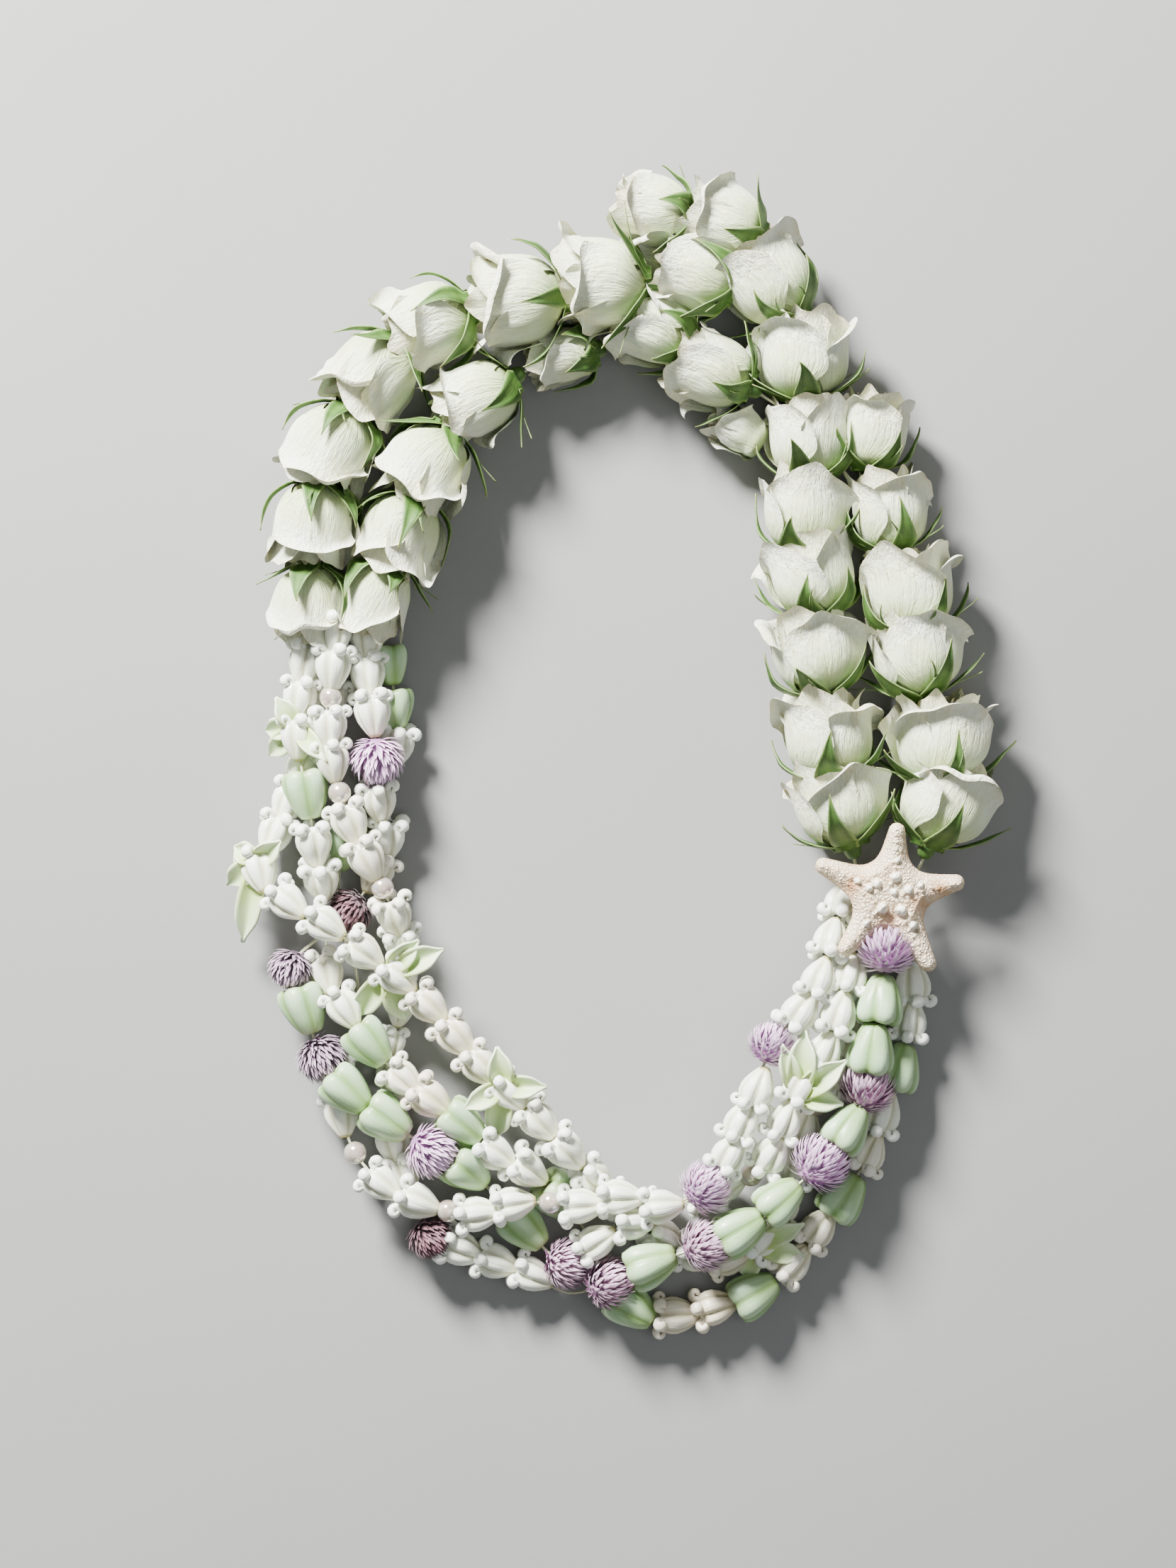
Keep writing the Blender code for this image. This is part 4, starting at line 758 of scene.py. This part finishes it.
def sepals(batch, name, seed):
    """Five pointed keeled sepals that lean on the bloom or turn out, some with a thread at the side."""
    base, axes, scale, stretch, turn = rose_frame(name)
    local = np.random.default_rng(seed)
    draw = local.uniform
    v = np.linspace(0, 1, 13)[:, None]
    u = np.linspace(-1, 1, 5)[None, :]
    for number in range(LOBES):
        angle = turn + SEPAL_TURN + 2 * math.pi * number / LOBES + draw(-0.2, 0.2)
        length = draw(*SEPAL_LENGTHS)
        flare = local.choice(SEPAL_FLARES) * draw(0.8, 1.2)
        widest = draw(*SEPAL_WIDTHS)
        threads = [(0.0, length, flare, widest)]
        if draw() < 0.5:
            side = local.choice((-1, 1))
            threads.append((side * 0.14, length * draw(0.5, 0.75), flare + 1.8, 0.7))
        for aside, long, out, wide in threads:
            half = wide * np.clip((1.0 - v) * 1.25, 0, 1) ** 1.25 * smooth(-0.35, 0.22, v) + 0.12
            s = -0.8 + long * v * (1 - 0.35 * (out / SEPAL_FLARES[-1]) * v)
            radius = np.maximum(body_radius(np.maximum(s, 0)), 3.4) + 0.9 + 1.1 * smooth(3, 9, s)
            radius += out * smooth(0.15, 1.1, v) ** 1.4
            crease = 0.55 * half * np.abs(u) ** 1.3
            ripple = 0.25 * np.sin(9 * v + draw(0, 6)) * np.abs(u)
            spread = spread_at(s, scale)
            lean = draw(-0.25, 0.25) * v ** 1.5
            theta = angle + aside * (0.4 + v) + lean + u * half / (radius * spread)
            points = about_axis(base, axes, s * stretch, (radius + crease + ripple) * spread, theta)
            batch.net(points, shade=0.5 + 0.5 * draw(-1, 1))


def hip(batch, name):
    """The green swelling under a rose, with the string's hole."""
    base, axes, _, stretch, _ = rose_frame(name)
    theta = ring(16)
    s, radius = profile(HIP_PROFILE)
    radius = radius * (1 + 0.03 * np.cos(5 * theta))
    batch.net(about_axis(base, axes, s * stretch, radius, theta), closed=True)


def crown(batch, curls, middle, axes, size, roll, age):
    """A crown flower: five fleshy lobes drawn to a narrow tip, and a snail-like curl at the head of each."""
    theta = ring(50)
    s, radius = profile(CROWN_PROFILE)
    lobe = np.abs(np.cos(LOBES / 2 * (theta - roll))) ** 0.5
    keel = np.exp(-(((theta - roll + LOBE_ANGLE / 2) % LOBE_ANGLE - LOBE_ANGLE / 2) / 0.09) ** 2)
    depth = smooth(-6.4, -4.0, s) * (1 - 0.5 * smooth(3.5, 7.6, s))
    shape = 1 - 0.36 * depth * (1 - lobe) - 0.04 * depth * keel
    points = about_axis(middle, axes, s * size, radius * shape * size, theta)
    # Painted shade in the grooves between the lobes and along the keels
    shade = np.clip(depth * ((1 - lobe) * 1.6 + 0.15 * keel), 0, 1)
    batch.net(points, closed=True, shade=shade, age=age)
    steps = np.linspace(0, 1, 13)
    winding = -1.2 - steps * 5.6
    reach = 1.85 * (1 - steps) ** 0.85 + 0.2
    path_s = CURL_MIDDLE[0] + reach * np.cos(winding)
    path_r = CURL_MIDDLE[1] + reach * np.sin(winding)
    thick = 1.5 - 0.35 * steps
    wide = 2.25 - 0.3 * steps
    wide[-1] *= 0.35
    thick[-1] *= 0.35
    turnings = ring(8)[:, None]
    a, b, c = axes
    for number in range(LOBES):
        angle = roll + 2 * math.pi * number / LOBES + rng.uniform(-0.1, 0.1)
        spoke = math.cos(angle) * b + math.sin(angle) * c
        side = np.cross(a, spoke)
        line = middle + (path_s * size)[:, None] * a + (path_r * size)[:, None] * spoke
        up = np.cross(units(np.gradient(line, axis=0)), side)
        net = line[:, None] + (thick * size)[:, None, None] * np.cos(turnings) * up[:, None]
        net += (wide * size)[:, None, None] * np.sin(turnings) * side
        curls.net(net, closed=True, age=age)


def bud(batch, middle, axes, roll, size, seed):
    """A closed bud: five rounded corners at its wide end, drawn to a narrow tip."""
    draw = np.random.default_rng(seed).uniform
    size = size * draw(0.95, 1.03)
    theta = ring(60)
    s, radius = profile(BUD_PROFILE)
    corner = np.abs(np.cos(LOBES / 2 * (theta - roll))) ** 1.3
    seam = np.exp(-(((theta - roll) % LOBE_ANGLE - LOBE_ANGLE / 2) / 0.07) ** 2)
    depth = smooth(8.5, -6.0, s)
    shape = 1 - (0.05 + 0.09 * depth) * (1 - corner) - 0.035 * seam
    lengthen = 0.7 * corner * smooth(-5.0, -8.0, s)
    points = about_axis(middle, axes, (s - lengthen) * size, radius * shape * size, theta)
    # The shade is painted light: highlight on the corners, most towards the wide end, and shade between them
    # and in the seams
    batch.net(points, closed=True, shade=np.clip(corner * (0.4 + 0.6 * depth) - 0.5 * seam, 0, 1))


def globe(batch, core, middle, axes, size, seed):
    """A globe amaranth: a small core under keeled bracts that sweep back from its foot."""
    draw = np.random.default_rng(seed).uniform
    polar = np.linspace(CORE_ENDS, np.pi - CORE_ENDS, 11)[:, None]
    s = -GLOBE_CORE[0] * size * np.cos(polar)
    core.net(about_axis(middle, axes, s, GLOBE_CORE[1] * size * np.sin(polar), ring(16)), closed=True)
    a, b, c = axes
    half = np.array(BRACT_HALVES)[:, None]
    t = np.linspace(0, 1, len(half))[:, None]
    for number in range(BRACTS):
        share = (number + 0.5) / BRACTS
        azimuth = number * BRACT_TURN + draw(-0.15, 0.15)
        spoke = math.cos(azimuth) * b + math.sin(azimuth) * c
        start = math.acos(1 - 1.80 * share)
        polar = start + draw(0.55, 0.80) * t * (1 - 0.35 * share)
        out = draw(4.8, 6.2) * (0.75 + 0.25 * share)
        radius = (4.4 + out * t ** 0.9) * size
        line = middle + radius * (-np.cos(polar) * 0.92 * a + np.sin(polar) * spoke)
        side = unit(np.cross(a, spoke)) * half * draw(0.8, 1.1)
        keel = (-math.cos(start) * a + math.sin(start) * spoke) * 0.38 * half
        net = np.stack([line - side, line + keel, line + side], axis=1)
        batch.net(net, shade=draw(0, 1))


def pearl(batch, middle, axes):
    """A pearl with its drilled hole's rim at both ends."""
    polar = np.linspace(PEARL_HOLE, np.pi - PEARL_HOLE, 17)[:, None]
    radius = PEARL_RADIUS * np.sin(polar)
    s = -PEARL_RADIUS * np.cos(polar)
    s = np.concatenate([[s[0] + PEARL_RIM], s, [s[-1] - PEARL_RIM]])
    radius = np.concatenate([[radius[0] * 0.8], radius, [radius[-1] * 0.8]])
    batch.net(about_axis(middle, axes, s, radius, ring(28)), closed=True)


def tube(batch, line, radius):
    """A round string along a line of points."""
    line = np.asarray(line)
    turnings = ring(8)[:, None]
    forward = units(np.gradient(line, axis=0))
    side = units(np.cross(forward, (0.0, 0.0, 1.0)))
    up = np.cross(side, forward)
    circle = np.cos(turnings) * side[:, None] + np.sin(turnings) * up[:, None]
    batch.net(line[:, None] + radius * circle, closed=True)


def through(points, steps=6):
    """A smooth line through points."""
    points = np.asarray(points)
    padded = np.concatenate([[2 * points[0] - points[1]], points, [2 * points[-1] - points[-2]]])
    line = []
    for number in range(1, len(padded) - 2):
        p0, p1, p2, p3 = padded[number - 1:number + 3]
        for t in np.linspace(0, 1, steps, endpoint=False):
            line.append(0.5 * (2 * p1 + (p2 - p0) * t + (2 * p0 - 5 * p1 + 4 * p2 - p3) * t ** 2
                               + (3 * p1 - p0 - 3 * p2 + p3) * t ** 3))
    return np.array(line + [points[-1]])


def corolla(batch, root, tip, width, seed):
    """One open petal, keeled, arched and turned back at its tip."""
    draw = np.random.default_rng(seed).uniform
    v = np.linspace(0, 1, 15)[:, None]
    u = np.linspace(-1, 1, 9)[None, :]
    forward = tip - root
    across = unit(np.array((-forward[1], forward[0], 0.0)))
    up = unit(np.cross(forward, across))
    if up[2] < 0:
        up = -up
    taper = 1 - smooth(0.7, 1.05, v) * 0.75
    half = width / 2 * np.sin(np.pi * np.clip(0.12 + 0.80 * v, 0, 1)) ** 0.8 * taper
    half = np.maximum(half, 0.12)
    arch = 1.8 * np.sin(np.pi * v) - 0.4 + draw(-0.4, 0.6) * v ** 3
    fold = draw(0.45, 0.85) * np.abs(u) ** 1.6 * half
    twist = draw(-0.35, 0.35) * v
    line = root + v[..., None] * forward
    net = line + (u * half * np.cos(twist))[..., None] * across
    net += (arch + fold + u * half * np.sin(twist))[..., None] * up
    batch.net(net)


def starfish_field(tips, x, y):
    """How far inside the arms a place is, over zero within the rim, and how much the arms lift it."""
    total = np.zeros_like(x)
    lift = np.zeros_like(x)
    for tip in tips:
        length = np.linalg.norm(tip[:2])
        ux, uy = tip[0] / length, tip[1] / length
        t = np.clip((x * ux + y * uy) / (length - ARM_TIP), 0, 1)
        distance = np.hypot(x - ux * t * (length - ARM_TIP), y - uy * t * (length - ARM_TIP))
        share = np.exp(-(distance / (ARM_WIDTH - ARM_TAPER * t)) ** 2)
        total += share
        lift += share * t * tip[2]
    return np.maximum(total - ARM_EDGE, 0) / (1 - ARM_EDGE), lift / (total + 1e-6)


def starfish(batch):
    """A dried starfish: ridged arms with blunt tips, tubercles and a hollow on one side."""
    centre = place(*STARFISH_CENTRE)
    tips = [place(*tip) - centre for tip in STARFISH_TIPS]
    angles = ring(300)
    rim = np.zeros_like(angles)
    for radius in np.arange(2, 32, 0.1):
        inside, _ = starfish_field(tips, radius * np.cos(angles), radius * np.sin(angles))
        rim = np.where(inside > 0, radius, rim)
    share = np.linspace(0, 1, 61)[:, None] ** 0.9
    share[0] = 0.004
    x = rim * share * np.cos(angles)
    y = rim * share * np.sin(angles)
    inside, lift = starfish_field(tips, x, y)

    def mound(spot, size):
        return np.exp(-((x - spot[0]) ** 2 + (y - spot[1]) ** 2) / (2 * size ** 2))

    height = 4.4 * np.clip(inside, 0, 1.5) ** 0.5
    local = np.random.default_rng(STARFISH_SEED)
    for tip in tips:
        for t in np.linspace(0.16, 0.92, 9):
            spot = tip[:2] * t + local.normal(0, 0.35, 2)
            size = local.uniform(0.5, 0.8) * (1 - 0.4 * t)
            height += (1 - 0.5 * t) * mound(spot, size)
        across = np.array((-tip[1], tip[0])) / np.linalg.norm(tip[:2])
        for side in (-1, 1):
            for t in np.linspace(0.2, 0.85, 7):
                spot = tip[:2] * t + across * side * (3.4 - 2.0 * t) + local.normal(0, 0.3, 2)
                height += 0.4 * mound(spot, 0.5)
    bare = np.zeros_like(height)
    for spot_x, spot_y, size in STARFISH_TUBERCLES:
        near = ((x - spot_x) ** 2 + (y - spot_y) ** 2) / size ** 2
        height += 1.15 * size * np.sqrt(np.maximum(0, 1 - near)) - 0.25 * size * np.exp(-(near - 1.8) ** 2)
        bare = np.maximum(bare, np.exp(-near ** 2))
    # Tan: partly the real hollow's own colour, partly painted shade in the shallow dents along the arms'
    # sides and near the rim
    tan = np.zeros_like(height)
    for spot_x, spot_y, size, depth in STARFISH_HOLLOWS_AND_SHADE:
        hollow = mound((spot_x, spot_y), size)
        height -= depth * hollow * smooth(0.02, 0.3, inside)
        tan = np.maximum(tan, hollow)
    height = np.maximum(height, 0.0)
    tan = np.clip(tan * 1.1 + 0.5 * smooth(0.30, 0.02, inside), 0, 1) * (1 - bare) - bare
    top = np.stack([x, y, lift + height - 1.0], axis=-1) + centre
    under = np.stack([x, y, lift - 1.0 - 2.6 * np.clip(inside, 0, 1) ** 0.5], axis=-1) + centre
    batch.net(top[::-1], closed=True, shade=tan[::-1])
    batch.net(under[::4], closed=True, shade=0.3)


def strand_items(strand):
    """Kind, middle and axes of every item of a crown strand."""
    rows = CROWN_STRANDS[strand]
    points = [place(*row[1:]) for row in rows]
    items = []
    for number, row in enumerate(rows):
        before = points[max(number - 1, 0)]
        after = points[min(number + 1, len(points) - 1)]
        items.append((row[0], points[number], axes_along(after - before)))
    return items


def build_roses():
    petal_look = rose_material()
    green = sepal_material()
    thread = string_material()
    order = list(ROSES)
    for number, group in enumerate(ROSE_GROUPS, 1):
        batch = Batch()
        for name in group:
            rose(batch, name, order.index(name) + ROSE_SEED)
        node = f"rose_petals_{number:02d}"
        batch.make(f"{node}_bloom", petal_look, [node], "rose_petal")
    for label, names in (("inner", INNER_ROSES + SIDE_ROSES), ("outer", OUTER_ROSES)):
        batch = Batch()
        for name in names:
            sepals(batch, name, order.index(name) + SEPAL_SEED)
            hip(batch, name)
        node = f"{label}_rose_strand"
        batch.make(f"{label}_calyxes", green, [node], "calyx", thickness=SEPAL_THICKNESS)
        cords = Batch()
        stops = [rose_frame(name)[0] for name in names if name not in SIDE_ROSES]
        tube(cords, through([place(*ROSE_STRING_STARTS[label])] + stops), ROSE_STRING_RADIUS)
        cords.make(f"{label}_rose_string", thread, [node], "calyx")


def build_strand(strand, looks):
    """One crown strand's flowers, pearls, small buds and string."""
    flowers, curls, pearls, petals, cords, buds = (Batch() for _ in range(6))
    name = f"crown_strand_{strand}"
    items = strand_items(strand)
    for number, (kind, middle, axes) in enumerate(items):
        roll = rng.uniform(0, 2 * math.pi)
        age = AGED_CROWNS.get(strand, {}).get(number, 0.0)
        if kind in "COc":
            size = SMALL_CROWN if kind == "c" else rng.uniform(0.96, 1.06)
            crown(flowers, curls, middle, axes, size, roll, age)
        elif kind == "P":
            pearl(pearls, middle, axes)
        elif kind == "b":
            bud(buds, middle, axes, roll, SMALL_BUD, SMALL_BUD_SEED)
    for bearer, number, leaves in OPEN_PETALS:
        if bearer == strand:
            _, middle, axes = items[number]
            root = middle - axes[0] * COROLLA_ROOT
            for leaf, (right, down, height, width) in enumerate(leaves):
                corolla(petals, root, place(right, down, height), width, number * 10 + leaf)
    tube(cords, through([middle for _, middle, _ in items]), CROWN_STRING_RADIUS)
    for batch, label, look, slot, thickness in (
        (flowers, "flowers", "crown", "crown", 0),
        (curls, "curls", "curl", "crown", 0),
        (cords, "string", "thread", "crown", 0),
        (pearls, "pearls", "pearl", "crown", 0),
        (buds, "small_buds", "bud", "bud", 0),
        (petals, "corollas", "corolla", "crown", COROLLA_THICKNESS),
    ):
        if batch.count:
            batch.make(f"{name}_{label}", looks[look], [name], slot, thickness=thickness)


def build_globe(number, node, middle, axes, looks):
    shade = next((darker for darker, picked in DARKER_GLOBES.items() if number in picked), "lilac")
    if number == TOP_GLOBE[0]:
        middle = middle + np.array((0, 0, TOP_GLOBE[1]))
    bracts, core = Batch(), Batch()
    globe(bracts, core, middle, axes, GLOBE_SIZES[number - 1], number)
    bracts.make(f"{node}_bracts", looks[shade], [node], "globe")
    core.make(f"{node}_core", looks[shade], [node], "globe")


def build_bud(number, node, middle, axes, looks):
    batch = Batch()
    bud(batch, middle, axes, rng.uniform(0, 2 * math.pi), 1.0, number)
    batch.make(f"{node}_bloom", looks["bud"], [node], "bud")


def build_crowns():
    looks = {"crown": crown_material(), "curl": curl_material(), "bud": bud_material(),
             "corolla": corolla_material(), "pearl": pearl_material(), "thread": string_material()}
    for shade, colours in GLOBE_COLOURS.items():
        looks[shade] = globe_material(f"globe_{shade}", *colours)
    for strand in CROWN_STRANDS:
        build_strand(strand, looks)
    for kind, label, build in (("G", "globe", build_globe), ("B", "bud", build_bud)):
        picked = [item for strand in CROWN_STRANDS for item in strand_items(strand) if item[0] == kind]
        for number, (_, middle, axes) in enumerate(picked, 1):
            build(number, f"{label}_{number:02d}", middle, axes, looks)


def build_stage():
    """A pale floor, soft lights and a camera that looks straight down."""
    mesh = bpy.data.meshes.new("floor")
    corners = [(x * FLOOR_HALF, y * FLOOR_HALF, 0) for x, y in ((-1, -1), (1, -1), (1, 1), (-1, 1))]
    mesh.from_pydata(corners, [], [(0, 1, 2, 3)])
    floor = bpy.data.objects.new("floor", mesh)
    mesh.materials.append(floor_material())
    bpy.context.scene.collection.objects.link(floor)
    world = bpy.data.worlds.new("studio")
    world.use_nodes = True
    background = world.node_tree.nodes["Background"]
    background.inputs["Color"].default_value = SKY_TINT
    background.inputs["Strength"].default_value = SKY_STRENGTH
    bpy.context.scene.world = world
    for name, where, size, power, tint in LIGHTS:
        light = bpy.data.lights.new(name, "AREA")
        light.shape = "DISK"
        light.size = size
        light.energy = power
        light.color = tint
        made = bpy.data.objects.new(name, light)
        made.location = where
        made.rotation_euler = (-Vector(where)).to_track_quat("-Z", "Y").to_euler()
        bpy.context.scene.collection.objects.link(made)
    data = bpy.data.cameras.new("camera")
    data.sensor_fit = "VERTICAL"
    data.sensor_height = SENSOR
    data.lens = SENSOR * CAMERA_HEIGHT / FIELD_HEIGHT
    camera = bpy.data.objects.new("camera", data)
    camera.location = (CAMERA_AT[0] * MM, CAMERA_AT[1] * MM, (CAMERA_PLANE + CAMERA_HEIGHT) * MM)
    bpy.context.scene.collection.objects.link(camera)
    bpy.context.scene.camera = camera


build_stage()
build_roses()
build_crowns()
star = Batch()
starfish(star)
star.make("starfish_body", starfish_material(), ["starfish"], "starfish", press=False)
